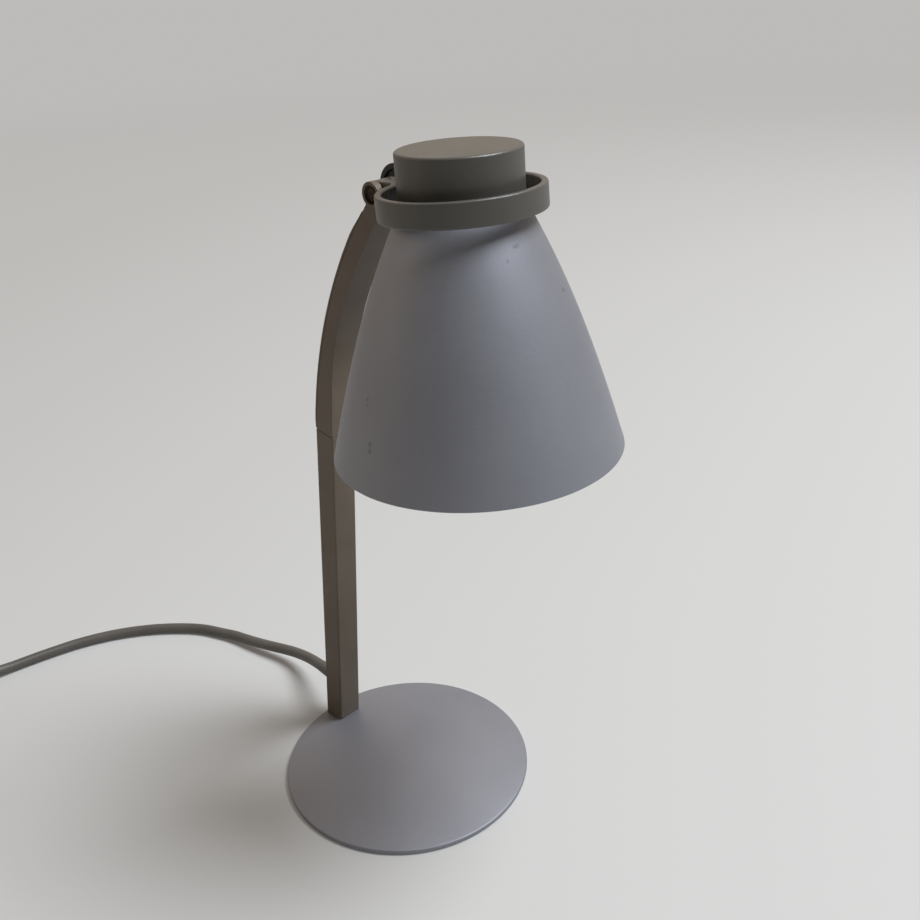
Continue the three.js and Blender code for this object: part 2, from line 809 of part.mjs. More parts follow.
function holderGeometry() {
  const collarLow = shadeTopHeight + gap;
  const bodyTop = collarLow + holder.bodyHeight;
  const mouth = shadeTopHeight - holder.skirtLength;
  return revolve(
    [
      [0, bodyTop - holder.collarHeight],
      [holder.bore, bodyTop - holder.collarHeight],
      [holder.bore, mouth],
      [holder.skirt, mouth],
      [holder.skirt, collarLow],
      [holder.collar, collarLow],
      [holder.collar, collarLow + holder.collarHeight],
      [holder.body, collarLow + holder.collarHeight],
      [holder.body, bodyTop - holder.bevel],
      [holder.body - holder.bevel, bodyTop],
      [0, bodyTop],
    ],
    facets.medium,
  );
}

function shadeRingGeometry() {
  const sides = shadeRing.ribs * facets.perRib;
  const outline = Array.from({ length: sides }, (_, i) => {
    const angle = (2 * Math.PI * i) / sides;
    const radius = shadeRing.outer - (shadeRing.ribDepth / 2) * (1 + Math.cos(shadeRing.ribs * angle));
    return [radius * Math.cos(angle), radius * Math.sin(angle)];
  });
  const high = shadeTopHeight - shade.wall - gap;
  const disc = new THREE.ExtrudeGeometry(polygon(outline), { depth: shadeRing.height, bevelEnabled: false });
  const bore = post(holder.skirt + gap, -through, shadeRing.height + through, facets.medium);
  return cut(disc, bore).translate(0, 0, high - shadeRing.height);
}

// The bulb hangs from the holder: a screw base and a frosted globe on a short neck.
const bulbTop = shadeTopHeight + gap + holder.bodyHeight - holder.collarHeight - gap;

function bulbBaseGeometry() {
  const bottom = bulbTop - bulb.baseLength;
  return revolve(
    [
      [0, bottom],
      [bulb.base + gap, bottom],
      [bulb.base + gap, bulbTop - bulb.tip - bulb.tipRise],
      [bulb.tip, bulbTop - bulb.tipRise],
      [bulb.tip, bulbTop],
      [0, bulbTop],
    ],
    facets.medium,
  );
}

const glassTop = bulbTop - bulb.baseLength - gap;

// The glass is a shell that opens into the screw base.
function bulbGlassGeometry() {
  const throat = bulb.base + gap;
  const outline = (inset) => [
    ...globeArc(inset),
    [throat - inset, glassTop - bulb.tip],
    [throat - inset, glassTop],
  ];
  return revolve([...outline(0), ...outline(bulb.wall).reverse()], facets.medium);
}

// The globe's outline from its lowest point up to its neck.
function globeArc(inset) {
  const radius = bulb.globe - inset;
  const neckHeight = glassTop - bulb.tip - bulb.neckLength;
  const centre = neckHeight - Math.sqrt(bulb.globe ** 2 - bulb.neck ** 2);
  const neckAngle = Math.asin((bulb.neck - inset) / radius);
  return Array.from({ length: bulb.steps + 1 }, (_, i) => {
    const angle = ((Math.PI - neckAngle) * i) / bulb.steps;
    return [radius * Math.sin(angle), centre - radius * Math.cos(angle)];
  });
}

place(headGroup, "shade", shadeGeometry(), greyPaint);
place(headGroup, "lampholder_cap", capGeometry(), olivePlastic);
place(headGroup, "lampholder", holderGeometry(), whitePlastic);
place(headGroup, "shade_ring", shadeRingGeometry(), whitePlastic);
place(headGroup, "bulb_base", bulbBaseGeometry(), steel);
place(headGroup, "bulb_glass", bulbGlassGeometry(), frostedGlass);
capScrewPlaces().forEach(([x, y], i) => {
  const mesh = place(headGroup, "cap_screw_" + (i + 1), screw(screwM3, capBoss.height), steel);
  mesh.position.set(x, y, shadeTopHeight - shade.wall - gap);
});

// Strain relief: a tapered sleeve on the back of the lower bar, held by a flange inside

// The way out of the arm: level with the table it would run along +Y.
const reliefWay = new THREE.Vector3(0, 0, 1).applyEuler(
  new THREE.Euler(-Math.PI / 2 - radians(relief.droop), 0, -radians(relief.yaw), "ZYX"),
);

function alongRelief(distance) {
  const [x, y, z] = reliefWay.toArray();
  return [x * distance, reliefRoot[0] + y * distance, reliefRoot[1] + z * distance];
}

function reliefGeometry() {
  const sleeve = revolve(
    [
      [0, -relief.root],
      [relief.root, -relief.root],
      [relief.root, relief.root / 2],
      [relief.tip, relief.length],
      [0, relief.length],
    ],
    facets.small,
  )
    .rotateX(-Math.PI / 2 - radians(relief.droop))
    .rotateZ(-radians(relief.yaw));
  const face = onBackFace(block([-arm.depth, -arm.depth, -arm.depth], [arm.depth, arm.depth, gap]), [0, 0]);
  const inside = -arm.wall - gap;
  const neck = onBackFace(post(reliefHold.neck, inside - gap, 2 * gap), [0, 0]);
  const flange = onBackFace(post(reliefHold.flange, inside - reliefHold.flangeHeight, inside), [0, 0]);
  return join(cut(sleeve, face), neck, flange).translate(0, ...reliefRoot);
}

place(lamp, "cord_strain_relief", reliefGeometry(), cordPvc);

// Cord: free stretches, an inline switch, a tied coil and a plug

const switchRight = inline.x + inline.length / 2;
const switchLeft = inline.x - inline.length / 2;

// Three points in a line that carry the cord straight into an end of the switch.
function intoSwitch(end, side) {
  const outs = [inlineEdge.grip, 0, 1 - inlineEdge.grip];
  return outs.map((out) => [end + side * out, inline.y, inline.cordHeight]);
}

const cordStart = [relief.length + gap, relief.length + 2.5 * cord.radius].map(alongRelief);
const toSwitch = [...cordStart, ...routeToSwitch, ...intoSwitch(switchRight, 1)];
place(lamp, "cord_to_switch", tube(toSwitch, cord.radius, spans.toSwitch), cordPvc);

const layFirst = coil.lift + cord.radius;
const coilOuter = coil.turnRadius + coil.across * cord.radius;
const coilInner = coil.turnRadius - coil.across * cord.radius;
const coilTop = coil.lift + coil.layers * 2 * cord.radius;
const coilLane = coilOuter - cord.radius;
const coilFace = coil.x + Math.sqrt(coilOuter ** 2 - (coilLane - cord.radius) ** 2) + coil.clear;
const coilEntry = [coilFace, coil.y + coilLane, layFirst];
const toCoil = [...intoSwitch(switchLeft, -1).reverse(), ...routeToCoil, coilEntry];
place(lamp, "cord_to_coil", tube(toCoil, cord.radius, spans.toCoil), cordPvc);

const plugLane = coil.y - coilLane;
const plugHeart = plug.height / 2;
const reliefEnd = plug.tailX - plugRelief.length + plugRelief.overlap;
const toPlug = [
  [coilFace, plugLane, coil.leaveHeight],
  [reliefEnd - 2 * cord.radius, plugLane, plugHeart + gap],
  [reliefEnd - cord.radius, plugLane, plugHeart],
  [reliefEnd - gap, plugLane, plugHeart],
];
place(lamp, "cord_to_plug", tube(toPlug, cord.radius, spans.toPlug), cordPvc);

function coilGeometry() {
  const corner = coil.round;
  return revolve([
    [coilInner, coil.lift + corner],
    [coilInner + corner, coil.lift],
    [coilOuter - corner, coil.lift],
    [coilOuter, coil.lift + corner],
    [coilOuter, coilTop - corner],
    [coilOuter - corner, coilTop],
    [coilInner + corner, coilTop],
    [coilInner, coilTop - corner],
    [coilInner, coil.lift + corner],
  ]);
}

place(lamp, "cord_coil", coilGeometry(), cordPvc).position.set(coil.x, coil.y, 0);

// The tie is a band round the coil's section.
function tieGeometry() {
  const half = tie.width / 2;
  const near = coilInner - 2 * gap;
  const far = coilOuter + gap;
  const top = coilTop + gap;
  const outer = block([near - tie.thickness, -half, 0], [far + tie.thickness, half, top + tie.thickness]);
  return cut(outer, block([near, -tie.width, tie.thickness], [far, tie.width, top]));
}

const tieMesh = place(lamp, "cord_tie", tieGeometry(), darkPlastic);
tieMesh.position.set(coil.x, coil.y, 0);
tieMesh.rotation.z = radians(tie.angle);

// Inline switch, drawn about its middle: two shells that meet at a seam, two screws and a rocker

const switchGroup = new THREE.Group();
switchGroup.position.set(inline.x, inline.y, 0);
lamp.add(switchGroup);

const rockerPivot = inline.height - rocker.pivotDepth;
const switchScrews = [1, -1].map((side) => [side * inlineScrew.along, side * inlineScrew.across]);

function shellOutline(inset) {
  return roundedRectangle(inline.length - 2 * inset, inline.width - 2 * inset, inlineEdge.round - inset);
}

function cordChannel() {
  return crossPost(cord.radius + gap, -inline.length, inline.length).translate(0, 0, inline.cordHeight);
}

function switchBottomGeometry() {
  const outside = bevelledPlate(shellOutline(0), 0, inline.split + inlineEdge.bevel, inlineEdge.bevel);
  const inside = new THREE.ExtrudeGeometry(shellOutline(inline.wall), {
    depth: inline.height,
    bevelEnabled: false,
    curveSegments: facets.corner,
  }).translate(0, 0, inline.wall);
  const atScrews = (radius, low, high) =>
    switchScrews.map(([x, y]) => post(radius, low, high).translate(x, y, 0));
  const posts = atScrews(inlineScrew.boss, inline.wall / 2, inline.split);
  const above = block(
    [-inline.length, -inline.width, inline.split],
    [inline.length, inline.width, inline.height],
  );
  const holes = atScrews(screwM3.shank + gap, -through, inline.height);
  const sinks = atScrews(screwM3.head + gap, -through, inlineScrew.sink);
  return cut(join(cut(outside, inside), ...posts), above, cordChannel(), ...holes, ...sinks);
}

function switchTopGeometry() {
  const low = inline.split + gap;
  const outside = bevelledPlate(shellOutline(0), low - inlineEdge.bevel, inline.height, inlineEdge.bevel);
  const inside = new THREE.ExtrudeGeometry(shellOutline(inline.wall), {
    depth: inline.height - inline.wall,
    bevelEnabled: false,
    curveSegments: facets.corner,
  });
  const posts = switchScrews.map(([x, y]) =>
    post(inlineScrew.boss, low, inline.height - inline.wall / 2).translate(x, y, 0),
  );
  const room = [rocker.length / 2 + 2 * gap, rocker.width / 2 + gap];
  const earWidth = rocker.pinLength + gap;
  const ears = [1, -1].map((side) => {
    const sides = [side * room[1], side * (room[1] + earWidth)].sort((a, b) => a - b);
    return block(
      [-rocker.depth / 2, sides[0], rockerPivot - rocker.depth / 2],
      [rocker.depth / 2, sides[1], inline.height - inline.wall / 2],
    );
  });
  const below = block([-inline.length, -inline.width, -inline.height], [inline.length, inline.width, low]);
  const window = block([-room[0], -room[1], low], [room[0], room[1], inline.height + through]);
  const pinHoles = post(rocker.pinRadius + gap / 2, -room[1] - earWidth, room[1] + earWidth)
    .rotateX(Math.PI / 2)
    .translate(0, 0, rockerPivot);
  const pilots = switchScrews.map(([x, y]) =>
    post(screwM3.shank + gap / 3, low - through, inline.height - inline.wall).translate(x, y, 0),
  );
  const shell = join(cut(outside, inside), ...posts, ...ears);
  return cut(shell, below, cordChannel(), window, pinHoles, ...pilots);
}

// A rocker with a flat-sided V on top and a round belly, on two short pins.
function rockerGeometry() {
  const half = rocker.length / 2;
  const top = rocker.pivotDepth + rocker.proud;
  const dip = top - half * Math.sin(radians(rocker.tilt));
  const belly = [
    [-half, rocker.proud - rocker.pivotDepth / 2],
    [-half / 2, -rocker.pinRadius - gap],
    [half / 2, -rocker.pinRadius - gap],
    [half, rocker.proud - rocker.pivotDepth / 2],
  ];
  const outline = polygon([...belly, [half, top], [0, dip], [-half, top]]);
  const body = new THREE.ExtrudeGeometry(outline, { depth: rocker.width, bevelEnabled: false })
    .translate(0, 0, -rocker.width / 2)
    .rotateX(Math.PI / 2);
  const reach = rocker.width / 2 + rocker.pinLength;
  return join(body, post(rocker.pinRadius, -reach, reach).rotateX(Math.PI / 2));
}

place(switchGroup, "switch_bottom", switchBottomGeometry(), darkPlastic);
place(switchGroup, "switch_top", switchTopGeometry(), darkPlastic);
const rockerMesh = place(switchGroup, "switch_rocker", rockerGeometry(), darkPlastic);
rockerMesh.position.z = rockerPivot;
rockerMesh.rotation.y = radians(rocker.tilt);
switchScrews.forEach(([x, y], i) => {
  const mesh = place(switchGroup, "switch_screw_" + (i + 1), screw(screwM3, inlineScrew.grip), steel);
  mesh.position.set(x, y, inlineScrew.sink - gap / 3);
});

// Plug, drawn from its tail along +X: a flat tapered body with two round pins

const plugGroup = new THREE.Group();
plugGroup.position.set(plug.tailX, plugLane, 0);
lamp.add(plugGroup);

const pinSides = [1, -1].map((side) => (side * pin.spacing) / 2);

function plugBodyGeometry() {
  const shoulder = plug.length / 2;
  const tail = plug.tailWidth / 2;
  const face = plug.width / 2;
  const outline = polygon([
    [0, -tail],
    [shoulder, -face],
    [plug.length, -face],
    [plug.length, face],
    [shoulder, face],
    [0, tail],
  ]);
  const body = bevelledPlate(outline, 0, plug.height, plug.bevel);
  const sleeve = revolve(
    [
      [0, -plugRelief.overlap],
      [plugRelief.root, -plugRelief.overlap],
      [plugRelief.tip, plugRelief.length - plugRelief.overlap],
      [0, plugRelief.length - plugRelief.overlap],
    ],
    facets.small,
  )
    .rotateY(-Math.PI / 2)
    .translate(0, 0, plugHeart);
  const pinHole = crossPost(pin.radius + gap / 2, plug.length - pin.depth, plug.length + through);
  const holes = pinSides.map((y) => pinHole.clone().translate(0, y, plugHeart));
  return cut(join(body, sleeve), ...holes);
}

function pinGeometry() {
  const from = -pin.depth + gap;
  return revolve(
    [
      [0, from],
      [pin.radius, from],
      [pin.radius, pin.length - pin.nose],
      [pin.radius - pin.nose, pin.length],
      [0, pin.length],
    ],
    facets.small,
  ).rotateY(Math.PI / 2);
}

place(plugGroup, "plug_body", plugBodyGeometry(), darkPlastic);
pinSides.forEach((y, i) => {
  const mesh = place(plugGroup, "plug_pin_" + (i + 1), pinGeometry(), steel);
  mesh.position.set(plug.length, y, plugHeart);
});

export default lamp;
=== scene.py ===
import json
import bpy
import bmesh
import numpy as np
from mathutils import Matrix, Vector


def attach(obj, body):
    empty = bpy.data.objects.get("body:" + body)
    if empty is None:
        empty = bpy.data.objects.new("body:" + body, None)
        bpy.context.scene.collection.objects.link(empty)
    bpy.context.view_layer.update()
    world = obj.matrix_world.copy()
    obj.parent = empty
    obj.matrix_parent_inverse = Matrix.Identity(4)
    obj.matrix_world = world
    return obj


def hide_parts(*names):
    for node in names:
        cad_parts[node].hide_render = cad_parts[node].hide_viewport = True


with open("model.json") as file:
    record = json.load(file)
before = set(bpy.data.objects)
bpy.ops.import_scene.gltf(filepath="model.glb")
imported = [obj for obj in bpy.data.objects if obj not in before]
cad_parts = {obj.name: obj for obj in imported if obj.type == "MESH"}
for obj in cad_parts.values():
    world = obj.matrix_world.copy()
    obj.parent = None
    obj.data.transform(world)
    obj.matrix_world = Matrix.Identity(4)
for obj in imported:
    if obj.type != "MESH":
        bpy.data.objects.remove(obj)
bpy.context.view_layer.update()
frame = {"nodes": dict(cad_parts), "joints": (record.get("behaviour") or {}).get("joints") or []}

# A small desk lamp. Every shape is worked out in millimetres, in the frame's own place.
mm = 0.001
nodes = frame["nodes"]
joints = {joint["name"]: joint for joint in frame["joints"]}
hingeAt, pivotAt, rockerAt = (np.array(joints[name]["pos_m"]) / mm
                              for name in ("ring_tilt", "shade_swing", "rocker_tip"))


def addObject(name, data):
    added = bpy.data.objects.new(name, data)
    bpy.context.scene.collection.objects.link(added)
    return added


# Camera

cameraView = dict(
    place=(-0.2939, -0.3731, 0.4345), right=(0.7153, -0.6974, -0.0444), up=(0.3419, 0.2939, 0.8926),
    lens=41.087, sensor=36)


def makeCamera(place, right, up, lens, sensor):
    right, up = Vector(right), Vector(up)
    data = bpy.data.cameras.new("camera")
    data.lens, data.sensor_width, data.clip_start = lens, sensor, 0.01
    camera = addObject("camera", data)
    turn = Matrix((right, up, right.cross(up))).transposed().to_4x4()
    camera.matrix_world = Matrix.Translation(place) @ turn
    bpy.context.scene.camera = camera


makeCamera(**cameraView)
print("camera set")


# Grids, profiles and pieces

def circle(count):
    return np.linspace(0, 2 * np.pi, count, endpoint=False)


# Directions round a circle, as cosine and sine.
def waysRound(count):
    return joined(np.cos(circle(count)), np.sin(circle(count)))


# Joins coordinates into points.
def joined(*coordinates):
    return np.stack(np.broadcast_arrays(*coordinates), -1)


# Runs from 0 to 1 between low and high: 3 parts of the square less 2 of the cube.
def smoothStep(value, low, high):
    part = np.clip((np.asarray(value, float) - low) / (high - low), 0, 1)
    return part * part * (3 - 2 * part)


# Rises from 0 to 1 between the first two values and falls back between the last two.
def plateau(value, low, full, last, high):
    return smoothStep(value, low, full) * (1 - smoothStep(value, last, high))


def unit(vectors):
    return vectors / (np.linalg.norm(vectors, axis=-1, keepdims=True) + 1e-12)


# A line through corners (x, y, radius). A corner with a radius becomes an arc that touches both of its
# sides: its points mix the two touching points by sines of the turning angle.
def roundedLine(corners, closed=False, steps=6):
    data = np.array([(*corner, 0)[:3] for corner in corners], float)
    points, radii = data[:, :2], data[:, 2:].copy()
    if not closed:
        radii[[0, -1]] = 0
    back, ahead = unit(np.roll(points, 1, 0) - points), unit(np.roll(points, -1, 0) - points)
    half = np.arccos(np.clip((back * ahead).sum(1, keepdims=True), -0.9999, 0.9999)) / 2
    centre = points + unit(back + ahead) * radii / np.sin(half)
    first, last = points + back * radii / np.tan(half), points + ahead * radii / np.tan(half)
    part, turn = np.linspace(0, 1, steps + 1)[None, :, None], (np.pi - 2 * half)[:, None]
    arc = centre[:, None] + (np.sin((1 - part) * turn) * (first - centre)[:, None]
                             + np.sin(part * turn) * (last - centre)[:, None]) / np.sin(turn)
    arc = np.where(radii[:, None] == 0, points[:, None], arc)
    keep = (radii > 0) | (np.arange(steps + 1) == 0)
    return arc[keep]


# Turns a profile of (radius, height) round Z by cosine and sine. A wave of angle and height is added
# where the radius is beyond a given one.
def revolved(profile, count, wave=None, beyond=0):
    profile = np.asarray(profile, float)
    angle, radius, height = circle(count), profile[:, :1], profile[:, 1:]
    if wave:
        radius = radius + np.where(radius > beyond, wave(angle, height), 0)
    return joined(radius * np.cos(angle), radius * np.sin(angle), height)


# Flat outlines at given heights, one row each.
def stacked(outlines, heights):
    return np.array([joined(*outline.T, height) for outline, height in zip(outlines, heights)])


# A rounded rectangle round a middle.
def boxOutline(length, width, radius, steps=8):
    x, y = length / 2, width / 2
    return roundedLine([(x, -y, radius), (x, y, radius), (-x, y, radius), (-x, -y, radius)], True, steps)


# A hexagon round a middle: its flat's distance over the cosine of the angle from the nearest flat.
def hexagon(flat, count=48):
    side = np.pi / 3
    return waysRound(count) * (flat / np.cos((circle(count) + side / 2) % side - side / 2))[:, None]


# Carries a closed section along a path, with each frame turned by the least that keeps it square.
def carried(path, section, firstSide=(0, 0, 1)):
    ahead, sides = unit(np.gradient(path, axis=0)), [np.array(firstSide)]
    for way in ahead:
        sides.append(unit(sides[-1] - way * (sides[-1] @ way)))
    sides = np.array(sides[1:])
    other = np.cross(ahead, sides)
    return path[:, None] + section[:, :1] * sides[:, None] + section[:, 1:] * other[:, None]


# A smooth curve through points, resampled evenly: each span is a cubic, with its ends' slopes taken
# from their neighbours.
def smoothPath(points, spacing):
    points = np.asarray(points, float)
    gaps = np.sqrt(np.linalg.norm(np.diff(points, axis=0), axis=1))
    knots = np.concatenate([[0], np.cumsum(gaps)])
    slopes = np.gradient(points, knots, axis=0)
    fine = np.linspace(0, knots[-1], 60 * len(points))
    span = np.clip(np.searchsorted(knots, fine, "right") - 1, 0, len(points) - 2)
    width = gaps[span][:, None]
    t = (fine[:, None] - knots[span][:, None]) / width
    curve = ((2 * t**3 - 3 * t**2 + 1) * points[span] + (t**3 - 2 * t**2 + t) * width * slopes[span]
             + (3 * t**2 - 2 * t**3) * points[span + 1] + (t**3 - t**2) * width * slopes[span + 1])
    along = np.concatenate([[0], np.cumsum(np.linalg.norm(np.diff(curve, axis=0), axis=1))])
    even = np.linspace(0, along[-1], max(2, round(along[-1] / spacing)))
    return np.stack([np.interp(even, along, curve[:, axis]) for axis in range(3)], 1)


# Turns points by degrees about an axis, 0 for X to 2 for Z, and moves them.
def turned(points, degrees, axis, at):
    first, second, angle = (axis + 1) % 3, (axis + 2) % 3, np.radians(degrees)
    spin = np.eye(3)
    spin[first, first] = spin[second, second] = np.cos(angle)
    spin[second, first], spin[first, second] = np.sin(angle), -np.sin(angle)
    return points @ spin.T + at


# Lays a shape drawn along Z along X instead.
def alongX(points, at=(0, 0, 0)):
    return points[..., [2, 0, 1]] + at


# A shell is a grid of points whose columns close on themselves. Its rows may wrap too, or end in lids,
# faces may be skipped, and extra ones added.
def shell(points, wrapRows=False, lids=False, skip=None, extra=()):
    return dict(points=points, wrapRows=wrapRows, lids=lids, skip=skip, extra=extra)


# Leans shells back about the pegs' axis.
def leaned(angle, *shells):
    return [part | dict(points=turned(part["points"], -angle, 0, pivotAt)) for part in shells]


# The faces of one shell: quads between rows and columns, lids and extra ones.
def shellFaces(part, start):
    rows, columns = part["points"].shape[:2]
    index = np.arange(rows * columns).reshape(rows, columns) + start
    lower, upper = (index, np.roll(index, -1, 0)) if part["wrapRows"] else (index[:-1], index[1:])
    quads = np.stack([lower, np.roll(lower, -1, 1), np.roll(upper, -1, 1), upper], 2)
    if part["skip"] is not None:
        quads = quads[~part["skip"][:len(quads)]]
    faces = quads.reshape(-1, 4).tolist() + [[start + i for i in face] for face in part["extra"]]
    if part["lids"]:
        faces += [index[0, ::-1].tolist(), index[-1].tolist()]
    return faces


finishes = {}


# A piece made of shells. It stands in for one or more CAD nodes, named with spaces between.
def makePiece(name, stands, finish, *shells, body="stand", sharp=32):
    vertices, faces, count = [], [], 0
    for part in shells:
        faces += shellFaces(part, count)
        vertices.append(part["points"].reshape(-1, 3) * mm)
        count += len(vertices[-1])
    mesh = bpy.data.meshes.new(name)
    mesh.from_pydata(np.concatenate(vertices).tolist(), [], faces)
    return finishPiece(mesh, name, stands, finish, body, sharp)


# Finishes a mesh: doubles merged, faces turned outwards, soft edges smooth. Before a bevel, the edges
# between flat neighbours go too.
def finishPiece(mesh, name, stands, finish, body="stand", sharp=32, bevel=None):
    work = bmesh.new()
    work.from_mesh(mesh)
    bmesh.ops.remove_doubles(work, verts=work.verts, dist=2e-6)
    bmesh.ops.dissolve_degenerate(work, edges=work.edges, dist=1e-7)
    if bevel:
        bmesh.ops.dissolve_limit(work, angle_limit=np.radians(0.4), verts=work.verts, edges=work.edges)
    bmesh.ops.recalc_face_normals(work, faces=work.faces)
    work.to_mesh(mesh)
    work.free()
    mesh.shade_smooth()
    mesh.set_sharp_from_angle(angle=np.radians(sharp))
    piece = addObject(name, mesh)
    if bevel:
        edge = piece.modifiers.new("edge", "BEVEL")
        edge.width, edge.segments, edge.limit_method = bevel * mm, 2, "ANGLE"
        edge.angle_limit, edge.harden_normals = np.radians(35), True
    else:
        weigh = piece.modifiers.new("weigh", "WEIGHTED_NORMAL")
        weigh.keep_sharp, weigh.weight = True, 60
    material = finishes[finish]
    mesh.materials.clear()
    mesh.materials.append(material["surface"])
    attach(piece, body)
    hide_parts(*stands.split())
    return piece


# A copy of a CAD node's own shape with its edges rounded.
def softCopy(node, name, finish, bevel):
    mesh = nodes[node].data.copy()
    mesh.name = name
    finishPiece(mesh, name, node, finish, bevel=bevel)


# Materials

def linearColour(text):
    value = np.array([int(text[i:i + 2], 16) for i in (1, 3, 5)]) / 255
    linear = np.where(value <= 0.04045, value / 12.92, ((value + 0.055) / 1.055) ** 2.4)
    return (*linear.tolist(), 1.0)


# Adds a node with its settings, gives its inputs values or links, and returns its outputs.
def addNode(tree, kind, inputs=(), **settings):
    node = tree.nodes.new("ShaderNode" + kind)
    for key, value in settings.items():
        setattr(node, key, value)
    for key, value in dict(inputs).items():
        if isinstance(value, bpy.types.NodeSocket):
            tree.links.new(value, node.inputs[key])
        else:
            node.inputs[key].default_value = value
    return node.outputs


# A new material's tree, with two close tones mixed in soft clouds of noise.
def newSurface(name, dark, light, cloud):
    surface = bpy.data.materials.new(name)
    surface.use_nodes = True
    tree = surface.node_tree
    tree.nodes.clear()
    place = addNode(tree, "TexCoord")["Object"]
    noise = addNode(tree, "TexNoise", {"Vector": place, "Scale": 1000 / cloud, "Detail": 2.0})[0]
    part = addNode(tree, "MapRange", {0: noise, 1: 0.35, 2: 0.65})[0]
    tones = {0: part, 6: linearColour(dark), 7: linearColour(light)}
    return surface, tree, place, addNode(tree, "Mix", tones, data_type="RGBA")[2]


def closeSurface(tree, colour, roughness, height, depth, step, constants):
    normal = addNode(tree, "Bump", {"Height": height, "Strength": depth, "Distance": step})[0]
    inputs = {"Base Color": colour, "Roughness": roughness, "Normal": normal} | dict(constants)
    shader = addNode(tree, "BsdfPrincipled", inputs)
    addNode(tree, "OutputMaterial", {"Surface": shader["BSDF"]})


# Spray lacquer over sheet metal: a satin sheen with a fine glint. Colour: two close greys in soft
# clouds, then each flake cell a little lighter or darker. Roughness: a base plus the flake. Relief:
# orange peel. Marks: each is a dark or pale spot where the distance to its place, with noise, is small.
def lacquer(slot, name, dark, light, cloud, flake, sparkle, peel, depth, rough, constants, marks=()):
    surface, tree, place, colour = newSurface(name, dark, light, cloud)
    cell = addNode(tree, "TexVoronoi", {"Vector": place, "Scale": 1000 / flake})["Color"]
    glint = addNode(tree, "MapRange", {0: cell, 3: 1 - sparkle, 4: 1 + sparkle})[0]
    colour = addNode(tree, "Mix", {0: 1.0, 6: colour, 7: glint}, data_type="RGBA", blend_type="MULTIPLY")[2]
    ragged = addNode(tree, "TexNoise", {"Vector": place, "Scale": 900.0, "Detail": 3.0})[0]
    for spot, size, tone, strength in marks:
        spot, size = tuple(np.array(spot) * mm), size * mm
        away = addNode(tree, "VectorMath", {0: place, 1: spot}, operation="DISTANCE")["Value"]
        away = addNode(tree, "Math", {0: ragged, 1: 2 * size, 2: away}, operation="MULTIPLY_ADD")[0]
        share = addNode(tree, "MapRange", {0: away, 1: 2.1 * size, 2: 1.4 * size, 3: 0, 4: strength})[0]
        colour = addNode(tree, "Mix", {0: share, 6: colour, 7: linearColour(tone)}, data_type="RGBA")[2]
    orange = addNode(tree, "TexNoise", {"Vector": place, "Scale": 1000 / peel, "Detail": 1.0})[0]
    roughness = addNode(tree, "MapRange", {0: cell, 3: rough[0], 4: rough[1]})[0]
    closeSurface(tree, colour, roughness, orange, depth, 0.0002, constants)
    return dict(surface=surface, slot=slot)


# Moulded, cast and plated pieces. Colour: two close tones in soft clouds. Roughness and relief: one
# noise, as the grain of a mould, sand, foam cells or scratches.
def grained(slot, name, dark, light, cloud, grain, depth, rough, spread=0.12, detail=3.0, step=0.0001,
            constants=()):
    surface, tree, place, colour = newSurface(name, dark, light, cloud)
    noise = addNode(tree, "TexNoise", {"Vector": place, "Scale": 1000 / grain, "Detail": detail})[0]
    roughness = addNode(tree, "MapRange", {0: noise, 1: 0.3, 2: 0.7, 3: rough, 4: rough + spread})[0]
    closeSurface(tree, colour, roughness, noise, depth, step, constants)
    return dict(surface=surface, slot=slot)


# Clouds, flake, orange peel and grain are sized in millimetres. Flake and grain are drawn coarser than
# real ones, so that they show.
greyValues = dict(
    slot="grey_paint", name="satin grey lacquer", dark="#999ba4", light="#9fa1aa", cloud=60, flake=0.5,
    sparkle=0.05, peel=1.6, depth=0.06, rough=(0.5, 0.58),
    constants={"Metallic": 0.55, "Coat Weight": 0.08, "Coat Roughness": 0.35})
bruise, scuff, darkSpot, chip, rub, bare = "#4c4c55", "#45454d", "#3f3f47", "#3d3b38", "#45423f", "#b9b6ae"
# Marks on the shade: dark spots, scuffs and rubbed wear on its front and left, and pale flecks along its
# left edge.
shadeMarks = [
    ((-2.4, -99, 325.4), 1.3, bruise, 0.3), ((-3.9, -98.8, 325.2), 1.0, bruise, 0.28),
    ((-9.1, -100.1, 321), 1.0, scuff, 0.22), ((17.3, -105.3, 304.2), 1.1, darkSpot, 0.45),
    ((-53.3, -61.8, 267.4), 1.0, chip, 0.35), ((-53.8, -62, 265.2), 0.9, chip, 0.3),
    ((-58.6, -67.8, 251), 1.3, rub, 0.3), ((-59.3, -68, 248.2), 1.4, rub, 0.3),
    ((-37.4, -34, 274.1), 0.9, bare, 0.6), ((-43.2, -38.3, 268.5), 0.8, bare, 0.6),
    ((-45.4, -37.9, 261.5), 1.0, bare, 0.7)]
finishes["grey_paint"] = lacquer(**greyValues)
finishes["marked_paint"] = lacquer(**greyValues | dict(name="satin grey lacquer, marked"), marks=shadeMarks)
platedValues = dict(detail=4.0, depth=0.08, step=0.00005, constants={"Metallic": 1.0})
